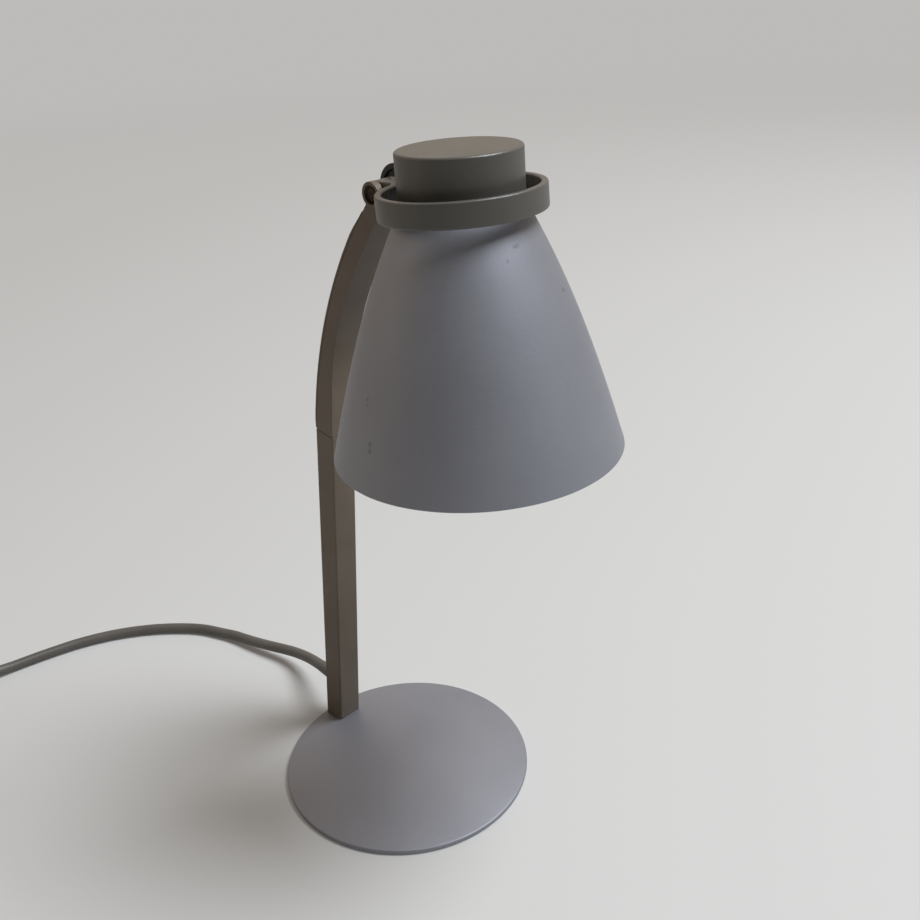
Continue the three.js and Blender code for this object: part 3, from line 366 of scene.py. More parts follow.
materials = {
    "taupe_plastic": dict(  # a soft sheen, broken up by the grain of the mould
        name="moulded taupe nylon", dark="#6b5e4e", light="#746758", cloud=35, grain=0.5, depth=0.25,
        rough=0.44),
    "olive_plastic": dict(  # a finer mould, so a tighter and brighter sheen
        name="moulded olive-grey abs", dark="#55534e", light="#5b5954", cloud=30, grain=0.45, depth=0.18,
        rough=0.32, constants={"Specular IOR Level": 0.75}),
    "dark_plastic": dict(  # nearly matt, with a little grain
        name="moulded charcoal abs", dark="#302f2d", light="#383735", cloud=18, grain=0.4, depth=0.3,
        rough=0.49),
    "steel": dict(  # bright, in uneven spots
        name="zinc-plated steel", dark="#8f9194", light="#a3a5a7", cloud=3, grain=0.6, rough=0.22,
        spread=0.2, **platedValues),
    "black_steel": dict(  # dull and brownish, with a faint glint
        name="black-oxide steel", dark="#3b302a", light="#4b3f38", cloud=2, grain=0.5, rough=0.42,
        spread=0.18, **platedValues),
    "cast_iron": dict(  # rough as sand, with a dim glint
        name="sand-cast iron", dark="#363638", light="#414143", cloud=12, grain=0.9, depth=0.8,
        rough=0.74, constants={"Metallic": 0.6}),
    "foam": dict(  # matt and pitted
        name="closed-cell foam", dark="#262627", light="#2f2f30", cloud=6, grain=0.7, depth=0.9, rough=0.89),
    "white_plastic": dict(  # smooth and hard, with a clear highlight
        name="white thermoset", dark="#d3d1ca", light="#dad8d1", cloud=20, grain=0.5, depth=0.08,
        rough=0.32),
    "lead_rubber": dict(  # dark, dry and dull
        name="rubber lead", dark="#383735", light="#403f3c", cloud=10, grain=0.5, depth=0.2, rough=0.54),
    "cord_pvc": dict(  # smooth from the die, with a long soft highlight
        name="extruded pvc", dark="#5f5b56", light="#67635d", cloud=25, grain=0.5, depth=0.14, rough=0.42),
    "frosted_glass": dict(  # milky, as light goes in a little way and comes out soft
        name="frosted glass", dark="#eae8e2", light="#f1efe9", cloud=15, grain=0.35, depth=0.05,
        rough=0.28, constants={"Subsurface Weight": 0.3, "Subsurface Scale": 0.004})}
for slot, values in materials.items():
    finishes[slot] = grained(slot, **values)
print("materials made")


# Cord: from the strain relief along the table, through the switch, round the coil and to the plug

cordValues = dict(
    radius=3.35, relief=20.5, droop=17, yaw=12, exitHeight=30, starts=(14, 20.5, 28.5), spacing=2.0)
armValues = dict(
    width=14.4, depth=13.9, wall=1.5, corner=0.8, gap=0.3, inset=0.25, lean=6.6, footBack=67.6,
    jointHeight=205.9)
lean = np.radians(armValues["lean"])


# A point of the lower arm: up along its back face, then in from it.
def lowerPoint(up, depth):
    return (armValues["footBack"] - up * np.sin(lean) - depth * np.cos(lean),
            up * np.cos(lean) - depth * np.sin(lean))


droop, yaw = np.radians(cordValues["droop"]), np.radians(cordValues["yaw"])
reliefWay = np.array([np.sin(yaw) * np.cos(droop), np.cos(yaw) * np.cos(droop), -np.sin(droop)])
reliefRoot = np.array([0, *lowerPoint(cordValues["exitHeight"] / np.cos(lean), 0)])
routeToSwitch = [
    (7.9, 100.3, 18.2), (9.8, 111.3, 14.4), (10.1, 123.3, 11.2), (8.8, 133.1, 9.2), (6.6, 141.8, 8),
    (4.3, 150.5, 7), (2.1, 159.5, 6), (0.1, 168.9, 5), (-2.1, 178.1, 4.3), (-5.4, 187, 3.7),
    (-12.9, 203.3, 3.45), (-24.4, 217.8, 3.45), (-38.9, 231.2, 3.45), (-57.3, 243.5, 3.45),
    (-79.6, 253.3, 3.45), (-104, 259.4, 3.45), (-128, 263.2, 3.9), (-146, 264.6, 6.7), (-156, 264.9, 8.6)]
routeToCoil = [
    (-165, 265, 9), (-195, 265, 9), (-225, 265, 9), (-235, 265, 8.5), (-247, 265, 6.3), (-262, 265, 4.5)]
routeToPlug = [
    (-274, 174.6, 11.15), (-266, 174.6, 10.4), (-258, 174.6, 8.9), (-251, 174.6, 7.4), (-247, 174.6, 7),
    (-240, 174.6, 7)]
coilValues = dict(
    at=(-286, 219.8), lane=45.2, step=6.7, low=4.45, start=90, end=2070, every=6.0, shift=120,
    inward=(330, 690), outward=(1290, 1650), climb=(960, 1110))


# The coil: three turns side by side, then the cord climbs by one width and steps out again on top.
# Radius and height are sums of smooth steps along the angle.
def coilPath(at, lane, step, low, start, end, every, shift, inward, outward, climb):
    angle = np.arange(start, end + 1, every)
    inwards, outwards = (sum(smoothStep(angle, turn, turn + shift) for turn in turns)
                         for turns in (inward, outward))
    radius = lane + step * (outwards - inwards)
    turn = np.radians(angle)
    return joined(at[0] + radius * np.cos(turn), at[1] + radius * np.sin(turn),
                  low + step * smoothStep(angle, *climb))


cordStart = [reliefRoot + reliefWay * far for far in cordValues["starts"]]
cordRoute = [cordStart, routeToSwitch, routeToCoil, coilPath(**coilValues), routeToPlug]
cordPath = smoothPath(np.concatenate(cordRoute), cordValues["spacing"])
cordShell = shell(carried(cordPath, cordValues["radius"] * waysRound(20)), lids=True)
cordNodes = "cord_to_switch cord_to_coil cord_to_plug cord_coil"
cordPiece = makePiece("mainsCord", cordNodes, "cord_pvc", cordShell)


# Base: a pressed steel cover with a rolled edge, on a foam pad

coverValues = dict(radius=70, edge=2.7, rise=6.5, sheet=1.2, lift=0.4, corner=1.0, rimWidth=3, turnWidth=2)
padValues = dict(radius=66, thick=1.4, holeY=57.925, hole=5)


# The dome's height falls with the square of the distance from the middle.
def domeHeight(distance):
    return coverValues["edge"] + coverValues["rise"] * (1 - (distance / coverValues["radius"]) ** 2)


# The cover's section: the dome's curve on top, the same curve a sheet lower beneath, and a rounded rim
# turned down between them.
def baseCover(radius, sheet, lift, corner, rimWidth, turnWidth, **others):
    inner = radius - sheet
    rimStart, turnStart = radius - rimWidth, inner - turnWidth
    under, over = np.linspace(0, turnStart, 30), np.linspace(rimStart, 0, 60)
    rim = roundedLine([
        (turnStart, domeHeight(turnStart) - sheet), (inner, domeHeight(inner) - sheet, 0.6),
        (inner, lift, 0.25), (radius, lift, 0.3), (radius, domeHeight(radius), corner),
        (rimStart, domeHeight(rimStart))])
    profile = [joined(under, domeHeight(under) - sheet), rim[1:-1], joined(over, domeHeight(over))]
    return shell(revolved(np.concatenate(profile), 256))


# The pad: rows run between an off-centre screw hole and the round edge, above and below.
def basePad(radius, thick, holeY, hole):
    middle, edge = waysRound(160) * hole + (0, holeY), waysRound(160) * radius
    shares, heights = (0, 0.5, 0.996, 1, 1, 0.996, 0.5, 0), (0, 0, 0, 0.25, 1, thick, thick, thick)
    return shell(stacked([middle + (edge - middle) * share for share in shares], heights), wrapRows=True)


makePiece("baseCover", "base_cover", "grey_paint", baseCover(**coverValues), sharp=50)
makePiece("basePad", "base_pad", "foam", basePad(**padValues))
print("base made")


# Arm: a leaning hollow bar below, a curved channel with a closing strip above

upperValues = dict(radius=255, lean=8.6, sweep=32, proud=0.6)
stripValues = dict(
    thick=1.4, foot=0.6, tipShort=8, soften=0.5, taper=16, thinned=0.9, footTaper=6, footThinned=0.45)
lowerLength = armValues["jointHeight"] / np.cos(lean)
bendStart = np.radians(upperValues["lean"])
bendBack = lowerPoint(lowerLength, -upperValues["proud"])


# The bar: the outer wall's rows go up from the dome to the joint, the inner wall's come back. Each
# lowest point slides along the bar until it meets the dome. The row at the joint draws in a little.
def lowerBar(width, depth, wall, corner, gap, inset, **others):
    rows, parts, middle = [], (0, 0.33, 0.66, 0.9985), depth / 2
    for size, bend, shares in (
            ((width, depth), corner, (*parts, 1)),
            ((width - 2 * wall, depth - 2 * wall), corner / 2, parts[::-1])):
        across = boxOutline(*size, bend)
        up = np.zeros(len(across))
        for _ in range(20):
            y, z = lowerPoint(up, middle - across[:, 1])
            up += domeHeight(np.hypot(across[:, 0], y)) + gap - z
        for share in shares:
            wide, deep = (across * (1 - 2 * inset * (share == 1) / np.array(size))).T
            rows.append(joined(wide, *lowerPoint(up + (lowerLength - up) * share, middle - deep)))
    return shell(np.array(rows), wrapRows=True)


# A point of the upper half: round its arc by an angle, then in from its back face.
def upperPoint(angle, depth):
    here, far = bendStart + angle, upperValues["radius"]
    return (bendBack[0] + far * (np.cos(here) - np.cos(bendStart)) - depth * np.cos(here),
            bendBack[1] + far * (np.sin(here) - np.sin(bendStart)) - depth * np.sin(here))


# The strip: a thin rounded section carried round the arc, shrunk a little at both ends. Towards the
# knuckle and towards its foot it thins by smooth steps.
def backStrip(thick, foot, tipShort, soften, taper, thinned, footTaper, footThinned):
    radius, width = upperValues["radius"], armValues["width"]
    section = boxOutline(width, thick, 0.45)
    end = np.radians(upperValues["sweep"]) - tipShort / radius
    ends = np.array([0, 0.0012, 0.0024])
    angles = np.concatenate([ends, np.linspace(0.01, end - 0.01, 60), end - ends[::-1]]) + foot / radius
    shrink = 1 - soften * np.array([1, 0.35, *[0] * 62, 0.35, 1])[:, None] / width
    share = (1 - thinned * smoothStep(angles, end - taper / radius, end)
             - footThinned * (1 - smoothStep(angles, 0, footTaper / radius)))[:, None]
    depths = thick - (section[:, 1] * shrink + thick / 2) * share
    return shell(joined(section[:, 0] * shrink, *upperPoint(angles[:, None], depths)), lids=True)


makePiece("lowerArm", "arm_lower_bar", "taupe_plastic", lowerBar(**armValues))
makePiece("backStrip", "arm_back_strip", "taupe_plastic", backStrip(**stripValues))
softCopy("arm_upper_channel", "upperArm", "taupe_plastic", 0.35)
print("arm made")


# Small turned and moulded hardware

screwLarge = dict(shank=2, head=3.8, headHeight=1.7, socket=1.1, socketDepth=0.9)
screwSmall = dict(shank=1.5, head=2.8, headHeight=1.4, socket=0.85, socketDepth=0.8)


# A socket screw pointing up from its head: rows go out of the six-sided socket, round the head and
# along the shank, whose thread is a fine ripple.
def socketScrew(length, at, shank, head, headHeight, socket, socketDepth, halfPitch=0.35, threadDepth=0.12):
    six, floor = hexagon(socket), socketDepth - headHeight
    profile = [(socket * 1.25, -headHeight), (head - 0.4, -headHeight), (head, 0.35 - headHeight), (head, 0),
               (shank, 0)]
    profile += [(shank - threadDepth * (i % 2), height)
                for i, height in enumerate(np.arange(0.5, length - shank, halfPitch))]
    rows = [(six * 0.02, floor), (six, floor), (six, -headHeight)]
    rows += [(waysRound(48) * radius, height) for radius, height in (*profile, (shank * 0.4, length))]
    return shell(stacked(*zip(*rows)) + at, lids=True)


boltValues = dict(flat=3.1, cone=3.35, face=2.75, shank=2, headHeight=1.2, length=13.4, start=-6.5)


# The hinge bolt, drawn from its head: six sides with their corners turned off, and a plain shank.
def hingeBolt(flat, cone, face, shank, headHeight, length, start):
    six, around = hexagon(flat), waysRound(48)
    cut = np.minimum(1, cone / np.linalg.norm(six, axis=1))[:, None] * six
    rows = [(around * face * 0.02, 0.25), (around * face * 0.8, 0.2), (around * face, 0), (cut, 0.35),
            (six, headHeight), (around * shank, headHeight), (around * shank, length)]
    return shell(alongX(stacked(*zip(*rows)), at=(start, *hingeAt[1:])), lids=True)


knobValues = dict(
    seat=7.5, radius=11, width=9.5, flutes=18, depth=0.5, rim=1.1, fade=1.2, turn=1.3, dish=6.6, bore=2.3,
    hub=5.4, wall=2, hollow=1.5)


# The knob, drawn from its seat outwards: a grip with cosine flutes that fade at the rims, a dished end
# and a hollow back round the hub.
def hingeKnob(seat, radius, width, flutes, depth, rim, fade, turn, dish, bore, hub, wall, hollow):
    def wave(angle, height):
        share = plateau(height, 0.2, fade, width - fade, width - 0.2)
        return -depth * share * (0.5 + 0.5 * np.cos(flutes * angle))
    inside = radius - wall - depth
    low = roundedLine([
        (bore, 0), (hub, 0, 0.3), (hub, hollow, 0.6), (inside, hollow, 0.6), (inside, 0, 0.25),
        (radius, 0, rim / 2), (radius, turn)])
    high = roundedLine([
        (radius, width - turn), (radius, width, rim), (dish + 0.6, width, 0.5), (dish, width - 0.5, 0.5),
        (bore + 0.3, width - 0.6, 0.3), (bore, width - 0.4), (0, width - 0.35)])
    side = [(radius, height) for height in np.linspace(turn, width - turn, 7)]
    grid = revolved([(0, 0.05), *low[:-1], *side, *high[1:]], 216, wave, dish + 1)
    return shell(alongX(grid, at=(seat, *hingeAt[1:])))


footValues = dict(y=padValues["holeY"], washer=4, sheet=1.5, thick=0.7, tip=14)


def footScrew(y, washer, sheet, thick, tip):
    top = domeHeight(y + washer) - sheet
    return socketScrew(tip - top, (0, y, top - thick), **screwLarge)


makePiece("hingeKnob", "hinge_knob", "dark_plastic", hingeKnob(**knobValues), body="knob")
makePiece("hingeBolt", "hinge_bolt", "black_steel", hingeBolt(**boltValues))
makePiece("footScrew", "foot_screw", "steel", footScrew(**footValues))
print("hardware made")


# Collar ring: a band with softened edges, a hollow lug that runs back to the hinge, and two inner pegs

ringValues = dict(
    lean=3.85, outer=35.1, inner=32.1, height=10.5, edge=0.9, lugWidth=7.4, reach=49.5, roof=1.1, cheek=1.4,
    flare=4.4, barrel=5.5, bore=2.3, peg=2.5, pegEnd=22.3, pegFoot=0.9)


# The lug's section is an upside-down U whose width grows near the band by a squared smooth step. The
# barrel lies across its end. The pegs point inwards from the band's wall.
def collarRing(lean, outer, inner, height, edge, lugWidth, reach, roof, cheek, flare, barrel, bore, peg,
               pegEnd, pegFoot):
    half, wide, root, foot = height / 2, lugWidth / 2, (inner + outer) / 2, peg + pegFoot
    side, under = wide - cheek, half - roof
    band = roundedLine([
        (inner, -half, edge), (outer, -half, edge), (outer, half, edge), (inner, half, edge)], True)
    section = roundedLine([
        (wide, -half, 0.35), (wide, half, 0.9), (-wide, half, 0.9), (-wide, -half, 0.35),
        (-side, -half, 0.35), (-side, under, 0.4), (side, under, 0.4), (side, -half, 0.35)], True, 5)
    out = np.linspace(inner + 1.5, reach, 40)[:, None]
    grow = flare * (1 - smoothStep(out, outer - 0.5, outer + 5.5)) ** 2
    lug = joined(section[:, 0] * (1 + grow / wide), out, section[:, 1])
    tube = roundedLine([
        (bore, -wide, 0.3), (barrel, -wide, 0.5), (barrel, wide, 0.5), (bore, wide, 0.3)], True, 4)
    pin = roundedLine([
        (0, pegEnd), (peg, pegEnd, 0.5), (peg, inner - 0.8), (foot, inner + 0.3), (foot, root), (0, root)])
    pin = alongX(revolved(pin, 48))
    return leaned(lean, shell(revolved(band, 256), wrapRows=True), shell(lug, lids=True),
                  shell(alongX(revolved(tube, 96), at=(0, reach, 0)), wrapRows=True),
                  shell(pin), shell(pin * (-1, 1, 1)))


leadValues = dict(radius=1.8, slack=0.4, rise=2, end=20.6, spacing=0.8)


# The lead's last stretch: round the barrel, through the lug and the band, into the cap.
def headLead(radius, slack, rise, end, spacing, lean, inner, outer, reach, barrel, **others):
    around = barrel + radius + slack
    route = [
        (reach + 1.5, -around), (reach - 2.6, -around + 0.3), (reach - around * 0.8, -around * 0.66),
        (reach - around - 1.9, -1.6), (outer + 3, 1.6), (outer - 1, rise), (inner - 2, rise), (end, rise)]
    path = smoothPath([(0, y, z) for y, z in route], spacing)
    return leaned(lean, shell(carried(path, radius * waysRound(16), (1, 0, 0)), lids=True))


makePiece("collarRing", "collar_ring", "olive_plastic", *collarRing(**ringValues), body="ring", sharp=40)
makePiece("headLead", "head_lead", "lead_rubber", *headLead(**leadValues, **ringValues), body="ring")
print("collar ring made")


# Head, drawn about the pegs' axis: shade, cap, lampholder and bulb

headLean = 2
shadeValues = dict(
    rim=64.6, neck=26.8, height=104.8, top=-4, fullness=3.15, wall=0.9, corner=1.6, hole=14.7)


# The shade's radius is a straight cone from rim to neck plus a swell of four times up by one less up,
# a little stronger towards the neck.
def shadeShell(rim, neck, height, top, fullness, wall, corner, hole):
    low, under = top - height, top - wall
    heights = np.linspace(low + 0.5, top - 3, 70)
    up = (heights - low) / height
    swell = fullness * 4 * up * (1 - up) * (0.72 + 0.56 * up)
    outside = joined(rim + (neck - rim) * up + swell, heights)
    inside = outside[::-1] - (wall, 0)
    crown = roundedLine([outside[-1], (neck - 0.1, top, corner), (hole, top, 0.2), (hole, under, 0.2),
                         (neck - 1, under, 0.9), inside[0]])
    edge = roundedLine([inside[-1], (rim - wall, low, 0.3), (rim, low, 0.4), outside[0]])
    return shell(revolved([*outside, *crown[1:-1], *inside, *edge[1:-1]], 288), wrapRows=True)


capValues = dict(radius=26, wall=2, low=-3.7, top=20.57, corner=1.2, dome=0.2, notchWidth=5.6, notchTop=7.3)


# The cap: a cup turned round Z, open at the back for the lead. Faces between the inner and the outer
# wall close the opening's edges.
def capShell(radius, wall, low, top, corner, dome, notchWidth, notchTop):
    inner, under = radius - wall, top - wall
    ceiling = roundedLine([(0, under), (inner, under, 0.8), (inner, notchTop + 1)])
    skirt = roundedLine([
        (inner, notchTop - 1), (inner, low, 0.4), (radius, low, 0.4), (radius, notchTop - 1)])
    crown = roundedLine([(radius, notchTop + 1), (radius, top, corner), (radius - 3, top + 0.2 * dome),
                         (12, top + 0.75 * dome), (0, top + dome)], steps=8)
    profile = np.array([*ceiling, (inner, notchTop), *skirt, (radius, notchTop), *crown])
    first, last, gaps = len(ceiling), len(ceiling) + 1 + len(skirt), 8
    back, edge = np.pi / 2, np.arcsin(notchWidth / 2 / radius)
    angle = np.concatenate([np.linspace(back - edge, back + edge, gaps + 1),
                            np.linspace(back + edge, back - edge + 2 * np.pi, 232)[1:-1]])
    grid = joined(profile[:, :1] * np.cos(angle), profile[:, :1] * np.sin(angle), profile[:, 1:])
    rows, columns = np.indices(grid.shape[:2])
    index = rows * len(angle) + columns
    sides = [index[first:last + 1, side].tolist() for side in (0, gaps)]
    lintel = [[*index[first, j:j + 2].tolist(), *index[last, j:j + 2][::-1].tolist()] for j in range(gaps)]
    return shell(grid, skip=(rows >= first) & (rows < last) & (columns < gaps), extra=sides + lintel)


holderValues = dict(
    body=14.9, skirt=14.2, collar=16.8, low=-3.7, high=13.3, mouth=-15, bore=8, pitch=2.4, threadDepth=0.25)


# The lampholder: one turned profile. Its skirt has a coarse thread, a ripple in the height less the
# angle's share of a turn.
def holderShell(body, skirt, collar, low, high, mouth, bore, pitch, threadDepth):
    def thread(angle, height):
        share = plateau(height, mouth + 0.5, mouth + 1.2, low - 2, low - 1.4)
        return -threadDepth * share * (0.5 + 0.5 * np.cos(2 * np.pi * height / pitch - angle))
    start = roundedLine([(0, high - 2), (bore, high - 2), (bore, mouth, 0.6), (skirt, mouth, 0.5),
                         (skirt, mouth + 0.8)])
    end = roundedLine([(skirt, low - 1.2), (skirt, low), (collar, low, 0.3), (collar, low + 2, 0.3),
                       (body, low + 2), (body, high, 1.2), (0, high)])
    side = joined(skirt, np.arange(mouth + 0.8, low - 1.2, 0.4))
    return shell(revolved([*start, *side[1:-1], *end], 128, thread, skirt - 0.1))


clampValues = dict(outer=17.6, bore=14.5, low=-11.2, high=-5.2, ribs=18, depth=0.8)


# The shade ring: a threaded collar with rounded ribs round its outside.
def clampShell(outer, bore, low, high, ribs, depth):
    def wave(angle, height):
        return -depth * (0.5 + 0.5 * np.cos(ribs * angle)) ** 2
    profile = roundedLine([
        (bore, low, 0.3), (outer, low, 0.6), (outer, high, 0.5), (bore, high, 0.3)], True, 5)
    return shell(revolved(profile, 216, wave, (bore + outer) / 2), wrapRows=True)


screwBaseValues = dict(top=11, radius=7.2, length=26, groove=0.45, pitch=2.82, threadDepth=0.4)
glassValues = dict(bottom=-67.04, top=-15.3, radius=22.5, neck=9.4, throat=7.3, wall=0.9)


# The bulb's screw base: a thread as a ripple that climbs one pitch a turn, then the contact.
def screwBase(top, radius, length, groove, pitch, threadDepth):
    def thread(angle, height):
        share = plateau(height, low + 6.6, low + 7.6, top - 7.6, top - 6.6)
        return threadDepth * share * np.cos(2 * np.pi * height / pitch - angle)
    low, root = top - length, radius - groove
    start = roundedLine([(0, low), (radius, low, 0.3), (radius, low + 6), (root, low + 6.5)])
    end = roundedLine([(root, top - 6.5), (root, top - 5.2, 0.4), (3.2, top - 2, 0.5), (3.2, top, 0.8),
                       (0, top)])
    side = joined(root, np.arange(low + 6.5, top - 6.6, 0.25))
    return shell(revolved([*start, *side[1:], *end[1:]], 96, thread))


# The glass: a sphere that runs by a smooth hollow curve into the neck, with an even wall.
def bulbGlass(bottom, top, radius, neck, throat, wall):
    centre = bottom + radius
    polar = np.linspace(0, np.pi - np.arcsin(neck / radius) - 0.05, 60)
    globe = joined(radius * np.sin(polar), centre - radius * np.cos(polar))
    collar = roundedLine([globe[-1], (throat, top - 4.4, 4), (throat, top)], steps=8)
    inner = globe[:-1] * (1 - wall / radius) + (0, centre * wall / radius)
    return shell(revolved([*globe[:-1], *collar, *(collar - (wall, 0))[::-1], *inner[::-1]], 128))


capScrewValues = dict(reach=21, height=-5.2, length=12)


def capScrew(yaw, reach, height, length):
    turn = np.radians(yaw)
    return socketScrew(length, (reach * np.cos(turn), reach * np.sin(turn), height), **screwSmall)


for name, node, finish, part, sharp in (
        ("shadeShell", "shade", "marked_paint", shadeShell(**shadeValues), 50),
        ("topCap", "lampholder_cap", "olive_plastic", capShell(**capValues), 40),
        ("lampHolder", "lampholder", "white_plastic", holderShell(**holderValues), 50),
        ("shadeRing", "shade_ring", "white_plastic", clampShell(**clampValues), 45),
        ("bulbBase", "bulb_base", "steel", screwBase(**screwBaseValues), 50),
        ("bulbGlass", "bulb_glass", "frosted_glass", bulbGlass(**glassValues), 60),
        ("capScrew1", "cap_screw_1", "steel", capScrew(45, **capScrewValues), 32),
        ("capScrew2", "cap_screw_2", "steel", capScrew(225, **capScrewValues), 32)):
    makePiece(name, node, finish, *leaned(headLean, part), body="head", sharp=sharp)
print("head made")


# Strain relief: a tapered sleeve with soft grooves whose root is cut to the arm's back face

reliefValues = dict(root=4.3, tip=3.55, length=20.5, grooves=5, depth=0.35)


# The sleeve's radius tapers, and dips at the grooves by a power of a cosine. Its first ring slides
# along until it meets the arm's face.
def reliefSleeve(root, tip, length, grooves, depth):
    side = unit(np.cross((0, 0, 1), reliefWay))
    across = waysRound(64)
    ring = across[:, :1] * side + across[:, 1:] * np.cross(reliefWay, side)
    part = np.linspace(0, 1, 121)
    dips = np.cos(2 * np.pi * grooves * (part - 0.12)).clip(0, 1) ** 4
    radius = root + (tip - root) * part - depth * dips * plateau(part, 0.1, 0.2, 0.9, 0.96)
    radius = np.append(radius, (tip - 0.12, tip - 0.4))
    part = np.append(part, (1.012, 1.02))[:, None]
    face = np.array([0, np.cos(lean), np.sin(lean)])
    start = -(radius[0] * ring @ face) / (reliefWay @ face)
    along = start * (1 - part).clip(0) + length * part
    return shell(reliefRoot + along[..., None] * reliefWay + radius[:, None, None] * ring, lids=True)


makePiece("strainRelief", "cord_strain_relief", "cord_pvc", reliefSleeve(**reliefValues))
print("strain relief made")


# Inline switch: two shells that meet at a seam, a rocker on top and two screws below

switchAt = (-195, 265)
switchValues = dict(
    length=60, width=25, height=18, seam=8.7, corner=6, bevel=2.2, wall=1.6, window=(16.2, 9.6))


# The top's rows are rounded rectangles: up the outside, in to the rocker's window, down through it and
# back along the inside to the seam.
def switchShell(length, width, height, seam, corner, bevel, wall, window):
    turn = np.linspace(0, np.pi / 2, 7)
    insets = [0.25, 0, 0, *(bevel * (1 - np.cos(turn)))]
    heights = [seam, seam + 0.25, height - bevel, *(height - bevel * (1 - np.sin(turn)))]
    rows = [boxOutline(length - 2 * inset, width - 2 * inset, max(1.2, corner - inset)) for inset in insets]
    for gap, down in (0.5, 0), (0.15, 0.12), (0, 0.5), (0, wall):
        rows.append(boxOutline(window[0] + 2 * gap, window[1] + 2 * gap, 0.9 + gap))
        heights.append(height - down)
    rows += [boxOutline(length - 2 * wall, width - 2 * wall, corner - wall)] * 2
    heights += [height - wall, seam]
    return shell(stacked(rows, heights) + (*switchAt, 0), wrapRows=True)


rockerValues = dict(half=7.5, top=5.3, belly=-1.4, middle=2.0, width=4.5, tilt=7, pin=1.1, end=5.9)


# The rocker: a shallow V over a round belly, given a width with soft edges. It is drawn level, then
# tipped with its pin.
def rockerShells(half, top, belly, middle, width, tilt, pin, end):
    fold = top - half * np.sin(np.radians(tilt))
    side = roundedLine([
        (half, 0.2, 0.3), (half, top, 0.4), (0, fold, 3), (-half, top, 0.4),
        (-half, 0.2, 0.3), (-half / 2, belly, 2), (half / 2, belly, 2)], True, 5)
    across = [(width - inset, share) for inset, share in ((0, 0.965), (0.15, 0.99), (0.4, 1))]
    across = [(-y, share) for y, share in across] + across[::-1]
    outlines = [(0, middle) + (side - (0, middle)) * share for y, share in across]
    grid = stacked(outlines, [y for y, share in across])
    pinGrid = revolved([(0, -end), (pin, -end), (pin, end), (0, end)], 32)
    return [shell(turned(part[..., [0, 2, 1]], tilt, 1, rockerAt), lids=lids)
            for part, lids in ((grid, True), (pinGrid, False))]


switchScrews = dict(length=9, height=2.1, apart=(19, 7))


def switchScrew(side, length, height, apart):
    x, y = np.array(switchAt) + side * np.array(apart)
    return socketScrew(length, (x, y, height), **screwSmall)


makePiece("switchTop", "switch_top", "dark_plastic", switchShell(**switchValues), sharp=40)
softCopy("switch_bottom", "switchBottom", "dark_plastic", 0.25)
makePiece("switchRocker", "switch_rocker", "dark_plastic", *rockerShells(**rockerValues), body="rocker",
          sharp=40)
makePiece("switchScrew1", "switch_screw_1", "steel", switchScrew(1, **switchScrews))
makePiece("switchScrew2", "switch_screw_2", "steel", switchScrew(-1, **switchScrews))
print("switch made")


# Plug: a flat tapered body whose rounded section widens from its tail, with grip ribs and two pins

plugAt = (-236, 174.6, 7)
plugValues = dict(length=36, tail=16, width=35, height=14, corner=5.4, pitch=3)
sleeveValues = dict(back=14, root=5.6, tip=4.4, grooves=4, depth=0.5)
pinValues = dict(apart=9.3, radius=2, start=24.3, sleeve=45.6, end=55)


# Each row is a rounded rectangle, cut back at both ends and where a rib's cosine dips.
def plugBody(length, tail, width, height, corner, pitch):
    along = np.array([0, 0.25, 0.8, 1.6, *np.linspace(2.6, length - 2, 70),
                      length - 1, length - 0.45, length - 0.1, length])
    cuts = [1.6, 0.95, 0.35, 0.08, *[0] * 70, 0.12, 0.45, 0.9, 1.3]
    wide = tail + (width - tail) * smoothStep(along, -1, 20)
    ribs = plateau(along, 5, 7, 17, 19) * np.cos(2 * np.pi * (along - 7) / pitch).clip(0, 1) ** 2
    rows = [boxOutline(height - 2 * cut - 0.5 * dip, wide - 2 * cut - 1.1 * dip, corner - cut)
            for wide, cut, dip in zip(wide, cuts, ribs)]
    return shell(stacked(rows, along)[..., [2, 1, 0]] + plugAt, lids=True)


# The tail sleeve's radius tapers, and dips at the grooves by a power of a cosine.
def plugSleeve(back, root, tip, grooves, depth):
    part = np.linspace(1, 0, 40)
    dips = np.cos(2 * np.pi * grooves * part).clip(0, 1) ** 4 * smoothStep(part, 0.05, 0.15)
    side = joined(root - (root - tip) * part - depth * dips, 3 - back * part)
    side = [(0, 3 - back), (tip - 0.5, 3 - back), *side[1:], (0, 3)]
    return shell(alongX(revolved(side, 64), plugAt))


# A pin: plastic-sleeved near the body, with a rounded nose.
def plugPin(side, apart, radius, start, sleeve, end):
    bare = radius - 0.07
    profile = roundedLine([(0, start), (radius, start), (radius, sleeve, 0.1), (bare, sleeve + 0.3),
                           (bare, end, 1.1), (0, end)], steps=8)
    return shell(alongX(revolved(profile, 48), plugAt) + (0, side * apart, 0))


tieValues = dict(inner=(27.85, 48.85), high=(0.8, 14.8), thick=0.8, half=2.5, corner=3.6, yaw=150)


# The tie: rows go round the strap's own thickness, columns round the rounded rectangle that it wraps.
def coilTie(inner, high, thick, half, corner, yaw):
    def loop(grow):
        outline = boxOutline(inner[1] - inner[0] + 2 * grow, high[1] - high[0] + 2 * grow, corner + grow, 12)
        return outline + (sum(inner) / 2, sum(high) / 2)
    out = -half - 0.1
    edge = [(0, -half), (0.15, out), (thick - 0.2, out), (thick, -half + 0.15)]
    rows = edge + [(grow, -across) for grow, across in edge[::-1]]
    grid = stacked([loop(grow) for grow, across in rows], [across for grow, across in rows])[..., [0, 2, 1]]
    return shell(turned(grid, yaw, 2, (*coilValues["at"], 0)), wrapRows=True)


